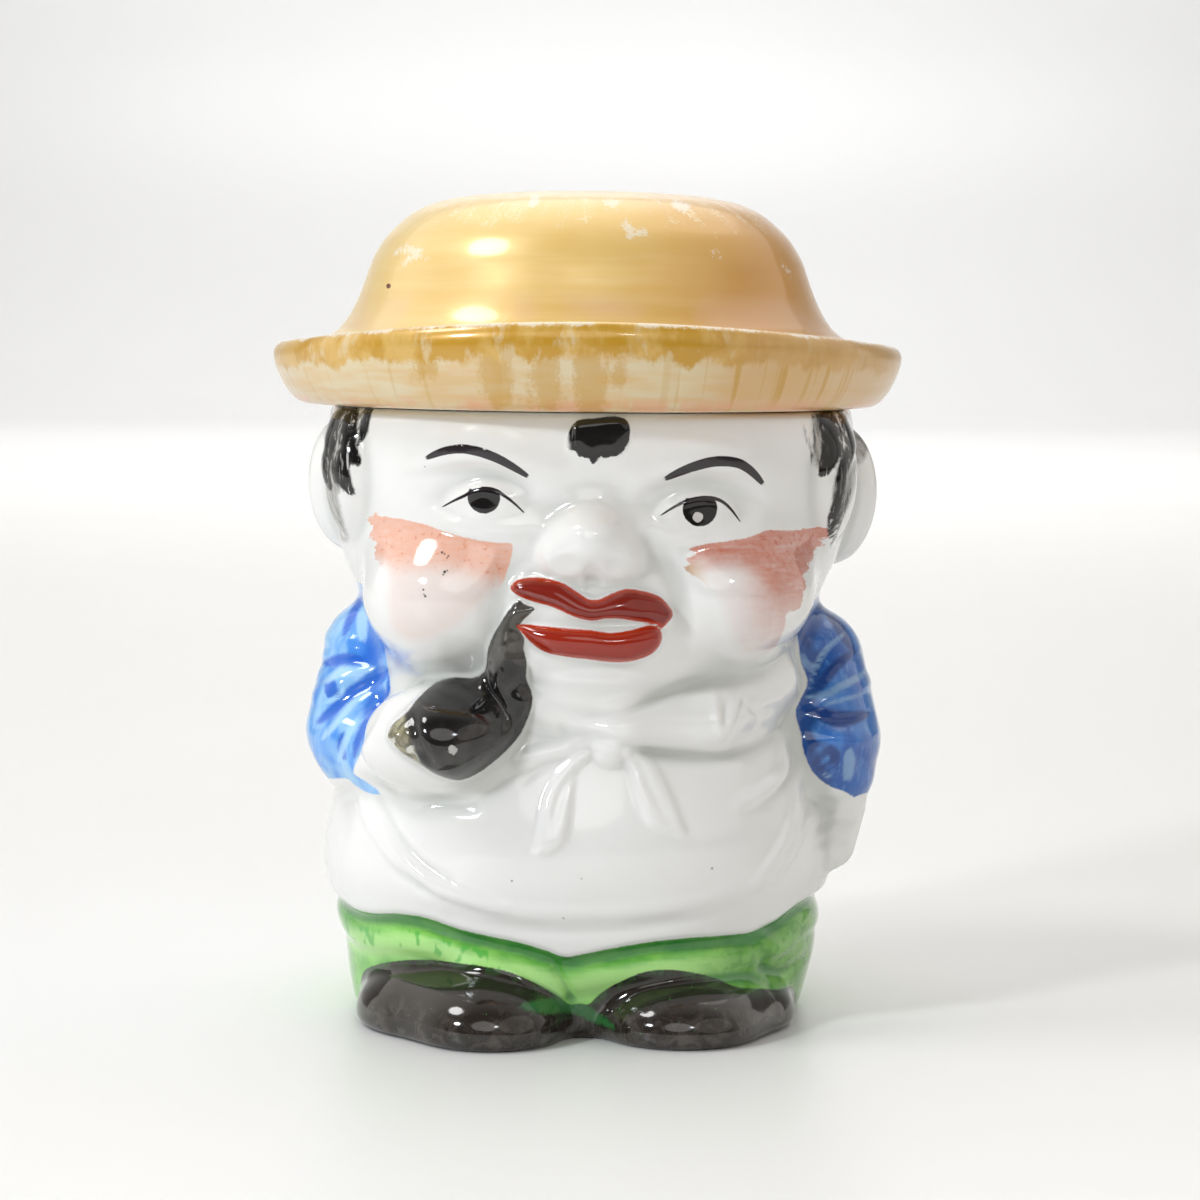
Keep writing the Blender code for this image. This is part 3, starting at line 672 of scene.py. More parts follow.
@dataclass(frozen=True)
class Painting:
    """Where each colour lies on the skin, as distances inside its edge."""

    ears_out: float = 0.9
    hair_foot: float = 76.0
    sleeve_front: float = 28.5
    sleeve_slant: float = 8.0
    jacket_low: float = 37.6
    jacket_high: float = 70.6
    heels: Point = (-17.5, 16.0)
    heel_height: float = 7.0
    heel_curve: float = 0.045
    left_sleeve: Outline = Outline((
        (-34.1, 70.9), (-32.4, 68.6), (-31.7, 66.5), (-32.2, 63.8), (-32.2, 60.8), (-31.9, 58.1), (-31.4, 55.4),
        (-31.5, 53.6), (-32.8, 51.8), (-34.0, 49.2), (-35.1, 46.3), (-36.2, 43.8), (-37.1, 41.5), (-36.4, 40.7),
        (-34.7, 40.0), (-32.4, 38.5), (-34.7, 38.2), (-36.9, 38.9), (-38.6, 39.8), (-44.0, 38.6), (-60.0, 37.2),
        (-75.0, 50.0), (-60.0, 70.4), (-42.0, 70.6), (-37.0, 71.0),
    ), reach=8.0)
    right_sleeve: Outline = Outline((
        (38.4, 69.0), (35.8, 68.2), (34.3, 65.5), (34.8, 61.6), (35.2, 59.0), (36.1, 56.7), (36.1, 55.1),
        (35.2, 53.5), (34.3, 51.6), (34.5, 49.7), (35.1, 47.8), (35.5, 45.2), (36.4, 42.8), (37.8, 40.7),
        (40.2, 38.8), (42.7, 37.8), (44.6, 36.4), (46.4, 37.0), (60.0, 36.4), (75.0, 50.0), (60.0, 71.0),
        (42.0, 70.0),
    ), reach=8.0)
    blue_dark: tuple[Mark, ...] = (
        Mark(((-43.4, 57.2), (-41.4, 57.9), (-39.0, 58.6), (-35.4, 58.5)), 1.0),
        Mark(((-43.8, 48.0), (-40.6, 50.8), (-38.3, 53.1), (-35.7, 54.8), (-33.0, 56.3), (-31.6, 57.8)), 1.1),
        Mark(((-37.0, 43.4), (-36.3, 46.6), (-34.1, 50.4), (-32.5, 52.6), (-31.5, 54.1), (-31.8, 57.0)), 0.9),
        Mark(((-33.8, 71.0), (-32.6, 67.4), (-32.8, 63.6), (-32.6, 59.6)), 0.7),
        Mark(((-41.8, 55.6), (-41.4, 54.0), (-41.9, 52.4)), 1.2),
        Mark(((-36.6, 69.0), (-38.4, 65.4), (-39.8, 61.8)), 0.8),
        Mark(((-38.8, 47.6), (-39.2, 45.0), (-38.4, 43.0)), 0.8),
        Mark(((35.4, 51.6), (38.6, 50.8), (41.6, 50.0), (46.8, 50.3)), 1.3),
        Mark(((35.2, 50.2), (36.8, 46.2), (37.8, 42.8), (40.6, 39.4)), 1.0),
        Mark(((36.0, 52.4), (38.8, 56.0), (41.6, 58.8), (44.6, 60.4)), 1.0),
        Mark(((35.0, 66.6), (35.4, 63.4), (36.8, 60.8)), 1.0),
        Mark(((39.4, 67.0), (42.0, 63.8), (44.2, 60.0)), 0.9),
        Mark(((38.4, 46.4), (40.6, 44.4), (40.6, 42.2)), 1.0),
    )
    blue_light: tuple[Mark, ...] = (
        Mark(((-42.8, 54.6), (-40.0, 56.4), (-36.6, 56.8), (-34.0, 57.6)), 0.7),
        Mark(((-42.8, 45.6), (-40.4, 48.6), (-38.0, 51.4), (-34.8, 53.8)), 0.6),
        Mark(((-39.8, 42.4), (-38.4, 46.4), (-36.6, 49.8)), 0.55),
        Mark(((-36.0, 67.4), (-36.6, 64.6), (-36.2, 61.2)), 1.0),
        Mark(((-42.6, 51.4), (-40.0, 52.8), (-38.6, 55.4)), 0.4),
        Mark(((36.4, 54.4), (37.8, 58.3), (39.6, 61.0), (42.8, 63.2)), 0.5),
        Mark(((35.8, 53.5), (38.6, 53.7), (41.9, 55.2), (47.2, 57.0)), 0.55),
        Mark(((38.4, 52.2), (42.0, 53.0), (46.0, 53.6)), 0.3),
        Mark(((46.6, 61.4), (47.2, 57.6), (46.8, 53.0)), 0.6),
        Mark(((35.3, 60.6), (36.0, 58.8), (36.8, 57.4)), 0.5),
        Mark(((43.0, 45.6), (43.1, 43.0), (43.0, 40.2)), 0.95, blunt=0.7),
        Mark(((38.9, 41.4), (40.0, 40.4)), 0.5, blunt=0.5),
    )
    lock_black: tuple[Mark, ...] = (
        Mark(((-39.2, 101.0), (-40.8, 96.8), (-41.2, 93.6), (-40.8, 91.2)), 1.25),
        Mark(((-41.8, 93.6), (-42.0, 90.4), (-41.0, 86.6)), 0.85),
        Mark(((-36.9, 101.0), (-37.8, 97.6), (-38.0, 94.6), (-37.2, 92.6), (-35.7, 90.7)), 1.5),
        Mark(((-34.1, 101.5), (-35.2, 98.0), (-35.8, 94.6)), 0.8),
        Mark(((-38.7, 94.0), (-39.2, 90.6), (-38.6, 88.2), (-36.8, 86.2)), 1.35),
        Mark(((-40.5, 93.6), (-40.6, 90.0), (-39.9, 87.0)), 0.4),
        Mark(((37.4, 102.0), (38.6, 98.4), (39.2, 94.6), (38.6, 92.2), (37.3, 89.8)), 1.9),
        Mark(((40.2, 101.4), (41.8, 98.0), (42.4, 94.6), (41.2, 91.2), (39.6, 87.4)), 1.15),
        Mark(((41.4, 90.8), (40.6, 87.6), (39.9, 84.6), (39.2, 79.6)), 1.05),
        Mark(((42.6, 87.6), (41.2, 83.6), (39.6, 77.6)), 0.35),
        Mark(((34.4, 98.4), (35.3, 95.0), (36.6, 90.0)), 0.22),
        Mark(((35.8, 99.6), (36.3, 95.8), (37.2, 91.0)), 0.32),
    )
    lock_grey: tuple[Mark, ...] = (
        Mark(((-41.4, 88.6), (-40.8, 84.4), (-40.3, 81.4), (-39.6, 78.9)), 1.35, blunt=0.9),
        Mark(((-38.8, 100.4), (-40.2, 96.0), (-40.2, 90.6), (-39.8, 86.0)), 1.5),
        Mark(((41.4, 101.0), (43.8, 96.8), (43.2, 92.4), (41.6, 88.4), (40.0, 82.4)), 2.2),
        Mark(((44.4, 97.2), (46.4, 94.2), (45.4, 90.6)), 0.95),
        Mark(((37.0, 101.0), (37.8, 95.6), (38.0, 90.0)), 1.9),
    )
    pipe_black: tuple[Mark, ...] = (
        Mark(((-12.6, 61.6), (-11.2, 60.0), (-9.6, 60.4)), 1.2),
        Mark(((-26.4, 53.2), (-22.4, 53.9), (-17.6, 53.6), (-14.0, 54.2)), 1.9),
        Mark(((-15.4, 61.2), (-14.9, 63.6), (-13.4, 66.8), (-11.6, 69.4), (-9.6, 70.6)), 0.5),
        Mark(((-15.2, 57.6), (-13.8, 54.6), (-13.3, 51.4), (-14.8, 47.6)), 0.9),
        Mark(((-9.2, 63.0), (-8.0, 60.6), (-7.7, 57.4)), 0.45),
        Mark(((-11.6, 57.0), (-10.2, 54.4), (-10.6, 51.6)), 0.9),
        Mark(((-11.6, 66.6), (-11.3, 65.9)), 0.28, blunt=0.8),
        Mark(((-12.4, 64.6), (-12.0, 63.8)), 0.3, blunt=0.8),
    )
    left_shoe: Outline = Outline((
        (-37.6, 3.6), (-36.9, 5.8), (-35.3, 8.1), (-32.4, 10.0), (-28.6, 11.4), (-24.0, 12.2), (-18.8, 12.4),
        (-14.3, 12.1), (-10.6, 11.3), (-6.8, 9.5), (-3.7, 7.4), (-1.8, 5.9), (0.6, 5.2), (0.9, -3.0),
        (-20.0, -4.0), (-38.0, -4.0), (-43.0, -1.0),
    ))
    right_shoe: Outline = Outline((
        (-0.4, 5.2), (1.2, 5.9), (3.2, 7.9), (5.7, 9.7), (9.5, 11.5), (13.2, 11.9), (17.0, 11.4), (20.9, 10.2),
        (24.1, 8.7), (27.4, 7.7), (30.8, 6.8), (34.5, 5.6), (38.0, 3.0), (40.0, -1.0), (34.0, -4.0),
        (14.0, -4.0), (0.0, -3.0),
    ))
    green_smear: Mark = Mark(((-9.6, 7.0), (-4.3, 6.2), (-0.5, 5.2), (2.0, 3.9), (5.4, 2.6)), 1.2)
    blush_left: Outline = Outline((
        (-34.7, 82.9), (-31.4, 82.9), (-28.3, 82.7), (-24.9, 82.1), (-22.3, 81.3), (-19.7, 80.6), (-16.4, 80.0),
        (-13.9, 79.7), (-11.4, 79.5), (-11.5, 77.1), (-12.1, 75.2), (-12.9, 73.0), (-15.7, 69.4), (-21.1, 65.0),
        (-27.0, 62.9), (-31.0, 65.2), (-31.7, 69.6), (-31.6, 73.7), (-32.8, 75.7), (-33.4, 77.2), (-33.5, 78.8),
        (-34.4, 80.1), (-34.0, 81.2), (-34.9, 81.9),
    ))
    rouge_left: Stroke = Stroke(((-38.0, 75.4), (-30.0, 75.6), (-22.0, 76.0), (-16.0, 74.4), (-10.0, 71.4)), 2.2)
    blush_right: Outline = Outline((
        (15.3, 75.9), (16.4, 76.6), (15.6, 77.4), (17.4, 78.2), (16.1, 79.0), (19.0, 79.8), (21.7, 80.1),
        (25.1, 80.6), (27.5, 81.3), (28.8, 81.7), (32.6, 81.4), (35.6, 81.6), (37.8, 81.5), (39.8, 81.0),
        (39.5, 80.0), (37.0, 79.3), (38.3, 78.4), (36.4, 77.7), (37.3, 76.7), (35.2, 76.2), (35.6, 75.2),
        (34.3, 74.6), (34.8, 73.4), (34.5, 70.8), (33.6, 69.3), (31.7, 68.7), (31.5, 66.4), (29.7, 62.4),
        (25.0, 60.8), (22.0, 65.0), (20.4, 70.0), (18.6, 73.6),
    ))
    rouge_right: Stroke = Stroke(
        ((15.0, 75.6), (20.2, 76.4), (24.4, 76.0), (27.0, 73.6), (28.4, 69.0), (27.6, 61.0)), 2.4
    )
    left_brow: Stroke = Stroke(
        (
            (-25.1, 92.5), (-23.4, 93.3), (-21.6, 93.9), (-19.4, 94.2), (-17.4, 94.0), (-15.2, 93.4), (-13.0, 92.5),
            (-10.7, 91.2), (-8.8, 90.0),
        ),
        0.84,
    )
    right_brow: Stroke = Stroke(
        (
            (12.2, 89.8), (14.7, 91.0), (17.1, 91.9), (19.5, 92.5), (21.6, 92.6), (23.7, 92.3), (25.2, 91.5),
            (26.6, 90.3), (27.9, 88.8),
        ),
        0.87,
    )
    left_lid: Stroke = Stroke(
        (
            (-22.5, 84.9), (-20.4, 86.1), (-18.8, 86.9), (-17.5, 87.7), (-15.9, 88.1), (-14.1, 87.9), (-12.7, 87.1),
            (-11.1, 85.9), (-9.4, 84.3),
        ),
        0.28,
    )
    right_lid: Stroke = Stroke(
        (
            (11.6, 84.1), (13.6, 85.4), (15.4, 86.3), (17.2, 86.8), (19.3, 86.9), (21.1, 86.4), (22.6, 85.2),
            (24.3, 83.0),
        ),
        0.28,
    )

    def hair(self, x: Grid, y: Grid, z: Grid, ears: Grid) -> Grid:
        """Distance inside the hair behind the ears and round them; the temples have marks of their own.

        Args:
            x: Places to the right.
            y: Places backwards.
            z: Places upwards.
            ears: Distance outside the ears.

        Returns:
            Distances, negative outside the hair.
        """
        lowest = np.where(x < 0.0, 95.0, 93.6)
        lowest = lowest - (lowest - self.hair_foot) * ease(y, 9.0, 12.0)
        behind = np.minimum(np.clip(z - lowest, -5.0, 5.0), ears - self.ears_out)
        share = ease(y, -9.0, -5.0)
        return behind * share - 3.0 * (1.0 - share)

    def jacket(self, x: Grid, y: Grid, z: Grid) -> Grid:
        """Distance inside the blue jacket: the sleeves in front, the whole back behind.

        Args:
            x: Places to the right.
            y: Places backwards.
            z: Places upwards.

        Returns:
            Distances, negative outside the jacket.
        """
        sleeves = np.maximum(self.left_sleeve.inside(x, z), self.right_sleeve.inside(x, z))
        sleeves = np.minimum(sleeves, y + self.sleeve_front - self.sleeve_slant * ease(z, 51.0, 58.0))
        behind = np.clip(np.minimum(z - self.jacket_low, self.jacket_high - z), -8.0, 8.0)
        share = ease(y, -3.0, 2.0)
        return sleeves * (1.0 - share) + behind * share

    def shoes(self, x: Grid, y: Grid, z: Grid) -> Grid:
        """Distance inside the shoes: the toes in front, two heels behind.

        Args:
            x: Places to the right.
            y: Places backwards.
            z: Places upwards.

        Returns:
            Distances, negative outside the shoes.
        """
        toes = np.maximum(self.left_shoe.inside(x, z), self.right_shoe.inside(x, z))
        off = np.minimum((x - self.heels[0]) ** 2, (x - self.heels[1]) ** 2)
        heel = self.heel_height - z - self.heel_curve * off
        return np.where(y < 0.0, toes - 5.0 * ease(y, -18.0, -1.0), np.clip(heel, -5.0, 5.0))

    def layers(self, x: Grid, y: Grid, z: Grid, ears: Grid, carving: Carving) -> dict[str, Grid]:
        """All paint attributes of the skin.

        Args:
            x: Places to the right.
            y: Places backwards.
            z: Places upwards.
            ears: Distance outside the ears.
            carving: The outlines that paint shares with relief.

        Returns:
            Arrays by attribute name, with a last axis of 3 where they are vectors.
        """
        behind = ease(y, -6.0, -2.0) * 9.0
        far_behind = ease(y, 5.0, 9.0) * 9.0
        layers = {
            "lips": np.maximum(carving.upper_lip.inside(x, z), carving.lower_lip.inside(x, z)) - behind,
            "pipe": carving.pipe.inside(x, z) - behind,
            "tuft": carving.tuft.inside(x, z) - behind,
            "smear": self.green_smear.inside(x, z) - behind,
            "hair": self.hair(x, y, z, ears),
            "jacket": self.jacket(x, y, z),
            "shoes": self.shoes(x, y, z),
            "trousers": carving.hem(x, y) - z,
        }
        for name in ("pipe_black", "blue_dark", "blue_light", "lock_black", "lock_grey"):
            hidden = far_behind if name.startswith("lock") else behind
            layers[name] = marks_inside(getattr(self, name), x, z) - hidden
        for side in ("left", "right"):
            area, line = getattr(self, "blush_" + side), getattr(self, "rouge_" + side)
            across, along = line.across(x, z)
            strong = ease(across, -line.width, line.width)
            layers["blush_" + side] = np.stack([area.inside(x, z) - behind, strong, along], -1)
        for name in ("left_brow", "right_brow", "left_lid", "right_lid"):
            across, along = getattr(self, name).across(x, z)
            layers[name] = np.stack([across + behind, along, np.zeros_like(along)], -1)
        return layers


class ClaySheet:
    """A flat grid of faces that is laid round the Z axis into one closed piece."""

    def __init__(self, name: str, columns: int, rows: int) -> None:
        """Adds the flat grid.

        Args:
            name: The piece's name.
            columns: Faces round the piece.
            rows: Rings of points from the first pole to the last.
        """
        self.columns, self.rows = columns, rows
        bpy.ops.object.select_all(action="DESELECT")
        bpy.ops.mesh.primitive_grid_add(
            x_subdivisions=columns, y_subdivisions=rows - 1, size=2.0, calc_uvs=False
        )
        self.piece = bpy.context.object
        self.piece.name = name
        self.piece.data.name = name
        flat = self._corners()
        self.order = np.lexsort((flat[:, 0].round(6), flat[:, 1].round(6)))

    def _corners(self) -> Grid:
        """The mesh's own points as rows.

        Returns:
            Rows of x, y and z.
        """
        flat = np.empty(len(self.piece.data.vertices) * 3)
        self.piece.data.vertices.foreach_get("co", flat)
        return flat.reshape(-1, 3)

    def paint(self, name: str, value: Grid) -> None:
        """Stores an attribute on the points.

        Args:
            name: The attribute's name.
            value: Its numbers or vectors, in grid order.
        """
        vector = value.ndim == 3
        kind = "FLOAT_VECTOR" if vector else "FLOAT"
        attribute = self.piece.data.attributes.new(name, kind, "POINT")
        flat = value.reshape(-1, value.shape[-1]) if vector else value.reshape(-1)
        out = np.empty_like(flat)
        out[self.order] = flat
        attribute.data.foreach_set("vector" if vector else "value", out.reshape(-1).astype(np.float32))

    def finish_rows(self, first: int, last: int, slot: int) -> None:
        """Gives the faces between two rings a material slot.

        Args:
            first: The first ring.
            last: The last ring.
            slot: The slot's number.
        """
        centres = np.empty(len(self.piece.data.polygons) * 3)
        self.piece.data.polygons.foreach_get("center", centres)
        row = ((centres.reshape(-1, 3)[:, 1] + 1.0) / 2.0 * (self.rows - 1)).astype(int)
        slots = np.empty(len(row), np.int32)
        self.piece.data.polygons.foreach_get("material_index", slots)
        slots[(row >= first) & (row < last)] = slot
        self.piece.data.polygons.foreach_set("material_index", slots)

    def wrap(self, angles: Grid, radii: Grid, heights: Grid) -> bpy.types.Object:
        """Lays the grid round the axis, then joins its seam and its poles.

        Args:
            angles: Angle of each point, in grid order, the last column on the first.
            radii: Radius of each point, in metres.
            heights: Height of each point, in metres.

        Returns:
            The closed piece.
        """
        placed = np.stack([radii * np.cos(angles), radii * np.sin(angles), heights], -1).reshape(-1, 3)
        out = np.empty_like(placed)
        out[self.order] = placed
        self.piece.data.vertices.foreach_set("co", out.reshape(-1))
        self.piece.data.update()
        bpy.context.view_layer.objects.active = self.piece
        self.piece.select_set(True)
        bpy.ops.object.mode_set(mode="EDIT")
        bpy.ops.mesh.select_all(action="SELECT")
        bpy.ops.mesh.remove_doubles(threshold=1e-6)
        bpy.ops.mesh.normals_make_consistent(inside=False)
        bpy.ops.object.mode_set(mode="OBJECT")
        bpy.ops.object.shade_smooth()
        self.piece.select_set(False)
        return self.piece


def front_crowded(columns: int, crowding: float) -> Grid:
    """Angles from the middle of the back round to it again, closer together in front."""
    even = np.linspace(-math.pi, math.pi, columns + 1)
    return -math.pi / 2.0 + even - crowding * np.sin(even)


def softened(grid: Grid) -> Grid:
    """The grid's mean over the nearest rows and columns, as glaze softens carving.

    Args:
        grid: Numbers by row and column.

    Returns:
        The softened numbers.
    """
    body = grid[:, :-1]
    body = (np.roll(body, 1, axis=1) + 2.0 * body + np.roll(body, -1, axis=1)) / 4.0
    wide = np.pad(body, ((1, 1), (0, 0)), mode="edge")
    body = (wide[:-2] + 2.0 * body + wide[2:]) / 4.0
    return np.concatenate([body, body[:, :1]], axis=1)


class Socket:
    """An output of a node; arithmetic on it adds Math nodes."""

    def __init__(self, tree: "Mixing", output: bpy.types.NodeSocket) -> None:
        """Holds the output and the tree that it is in."""
        self.tree, self.output = tree, output

    def _math(self, operation: str, *values: Any, clamp: bool = False) -> "Socket":
        """A Math node on these values."""
        return self.tree.node("ShaderNodeMath", {"operation": operation, "use_clamp": clamp}, list(values))

    def __add__(self, other: Any) -> "Socket":
        """This plus another."""
        return self._math("ADD", self, other)

    __radd__ = __add__

    def __sub__(self, other: Any) -> "Socket":
        """This minus another."""
        return self._math("SUBTRACT", self, other)

    def __rsub__(self, other: Any) -> "Socket":
        """Another minus this."""
        return self._math("SUBTRACT", other, self)

    def __mul__(self, other: Any) -> "Socket":
        """This times another."""
        return self._math("MULTIPLY", self, other)

    __rmul__ = __mul__

    def __truediv__(self, other: Any) -> "Socket":
        """This over another."""
        return self._math("DIVIDE", self, other)

    def __neg__(self) -> "Socket":
        """Minus this."""
        return self._math("MULTIPLY", self, -1.0)

    def __pow__(self, other: Any) -> "Socket":
        """This to a power."""
        return self._math("POWER", self, other)

    def size(self) -> "Socket":
        """This without its sign."""
        return self._math("ABSOLUTE", self)

    def least(self, other: Any) -> "Socket":
        """The smaller of this and another."""
        return self._math("MINIMUM", self, other)

    def most(self, other: Any) -> "Socket":
        """The larger of this and another."""
        return self._math("MAXIMUM", self, other)

    def between(self, low: float, high: float) -> "Socket":
        """A smooth rise from 0 at low to 1 at high.

        Args:
            low: Where the rise starts.
            high: Where it ends; it may be the smaller one.

        Returns:
            A number from 0 to 1.
        """
        settings = {"interpolation_type": "SMOOTHSTEP", "clamp": True}
        if high < low:
            return 1.0 - self.between(high, low)
        return self.tree.node("ShaderNodeMapRange", settings, {"Value": self, "From Min": low, "From Max": high})


class Mixing:
    """One material and the node expressions that make it."""

    def __init__(self, name: str) -> None:
        """Starts an empty material with its shader.

        Args:
            name: The material's name.
        """
        self.material = bpy.data.materials.new(name)
        self.material.use_nodes = True
        self.nodes = self.material.node_tree.nodes
        self.shader = self.nodes["Principled BSDF"]

    def node(self, kind: str, settings: dict[str, Any], values: Any, output: Any = 0) -> Socket:
        """Adds any node.

        Args:
            kind: The node's type.
            settings: Its properties; "stops" are a ramp's places and colours.
            values: Its inputs by name or in order, as values or sockets.
            output: The output that is wanted, by name or number.

        Returns:
            That output.
        """
        node = self.nodes.new(kind)
        for key, value in settings.items():
            if key == "stops":
                ramp = node.color_ramp
                while len(ramp.elements) < len(value):
                    ramp.elements.new(0.5)
                for element, (place, colour) in zip(ramp.elements, value):
                    element.position, element.color = place, (*colour, 1.0)
            else:
                setattr(node, key, value)
        pairs = values.items() if isinstance(values, dict) else enumerate(values)
        for key, value in pairs:
            self.feed(node.inputs[key], value)
        return Socket(self, node.outputs[output])

    def feed(self, entry: bpy.types.NodeSocket, value: Any) -> None:
        """Links a socket to an input, or sets the input's own value.

        Args:
            entry: The input.
            value: A socket, a number, a colour or a vector.
        """
        if isinstance(value, Socket):
            self.material.node_tree.links.new(value.output, entry)
        elif isinstance(value, (tuple, list)) and len(entry.default_value) == 4:
            entry.default_value = (*value[:3], 1.0)
        else:
            entry.default_value = value

    def attribute(self, name: str) -> Socket:
        """A number stored on the piece."""
        return self.node("ShaderNodeAttribute", {"attribute_name": name}, [], "Fac")

    def vector(self, name: str) -> Socket:
        """A vector stored on the piece."""
        return self.node("ShaderNodeAttribute", {"attribute_name": name}, [], "Vector")

    def attribute_parts(self, name: str) -> tuple[Socket, Socket, Socket]:
        """The three numbers of a vector stored on the piece."""
        node = self.node("ShaderNodeSeparateXYZ", {}, [self.vector(name)]).output.node
        return tuple(Socket(self, out) for out in node.outputs)

    def place(self) -> Socket:
        """Object coordinates, in metres."""
        return self.node("ShaderNodeTexCoord", {}, [], "Object")

    def along(self, axis: int) -> Socket:
        """Place along an axis, 0 to 2, in hundredths of the pot's height."""
        return self.node("ShaderNodeSeparateXYZ", {}, [self.place()], axis) / UNIT

    def bump(self, strength: float, distance: float, height: Socket) -> Socket:
        """Small ripples, for the shader's Normal."""
        return self.node("ShaderNodeBump", {}, {"Strength": strength, "Distance": distance, "Height": height})

    def noise(self, where: Socket, scale: float, detail: float, rough: float, swirl: float = 0.0) -> Socket:
        """Cloudy numbers from about 0 to 1."""
        values = {"Vector": where, "Scale": scale, "Detail": detail, "Roughness": rough, "Distortion": swirl}
        return self.node("ShaderNodeTexNoise", {}, values, "Fac")

    def cloudy(self, scale: float, detail: float = 2.0, rough: float = 0.5, swirl: float = 0.0) -> Socket:
        """Noise that lies still on the piece."""
        return self.noise(self.place(), scale, detail, rough, swirl)

    def brushed(
        self, across: float, up: float, detail: float, rough: float, tilt: float = 0.0, swirl: float = 0.0
    ) -> Socket:
        """Noise with one scale across and another up, tilted about the Y axis."""
        mapping = {"Vector": self.place(), "Rotation": (0.0, tilt, 0.0), "Scale": (across, across, up)}
        return self.noise(self.node("ShaderNodeMapping", {}, mapping), 1.0, detail, rough, swirl)

    def blend(self, share: Any, under: Any, over: Any) -> Socket:
        """One colour over another by a share.

        Args:
            share: How much of the upper one shows.
            under: The lower colour.
            over: The upper colour.

        Returns:
            The mixed colour.
        """
        node = self.nodes.new("ShaderNodeMix")
        node.data_type = "RGBA"
        for key, value in ((0, share), (6, under), (7, over)):
            self.feed(node.inputs[key], value)
        return Socket(self, node.outputs[2])

    def dress(self, **values: Any) -> bpy.types.Material:
        """Feeds the shader's inputs.

        Args:
            **values: The inputs by name, with underscores for spaces.

        Returns:
            The finished material.
        """
        for key, value in values.items():
            self.feed(self.shader.inputs[key.replace("_", " ")], value)
        return self.material


class Enamels(Mixing):
    """A material on which colours are laid in turn, with the places and noise that they share."""

    def __init__(self, name: str) -> None:
        """Starts the material.

        Args:
            name: The material's name.
        """
        super().__init__(name)
        self.x, self.front, self.z = (self.along(axis) for axis in range(3))
        self.ragged = (self.cloudy(1400.0, 3.0, 0.7) - 0.5) * 0.9
        self.cloud = self.cloudy(420.0, 4.0, 0.6, 0.8)
        self.colour: Any = (1.0, 1.0, 1.0)

    def lay(self, share: Socket, over: Any) -> None:
        """Lays a share of a colour over what is there."""
        self.colour = self.blend(share, self.colour, over)


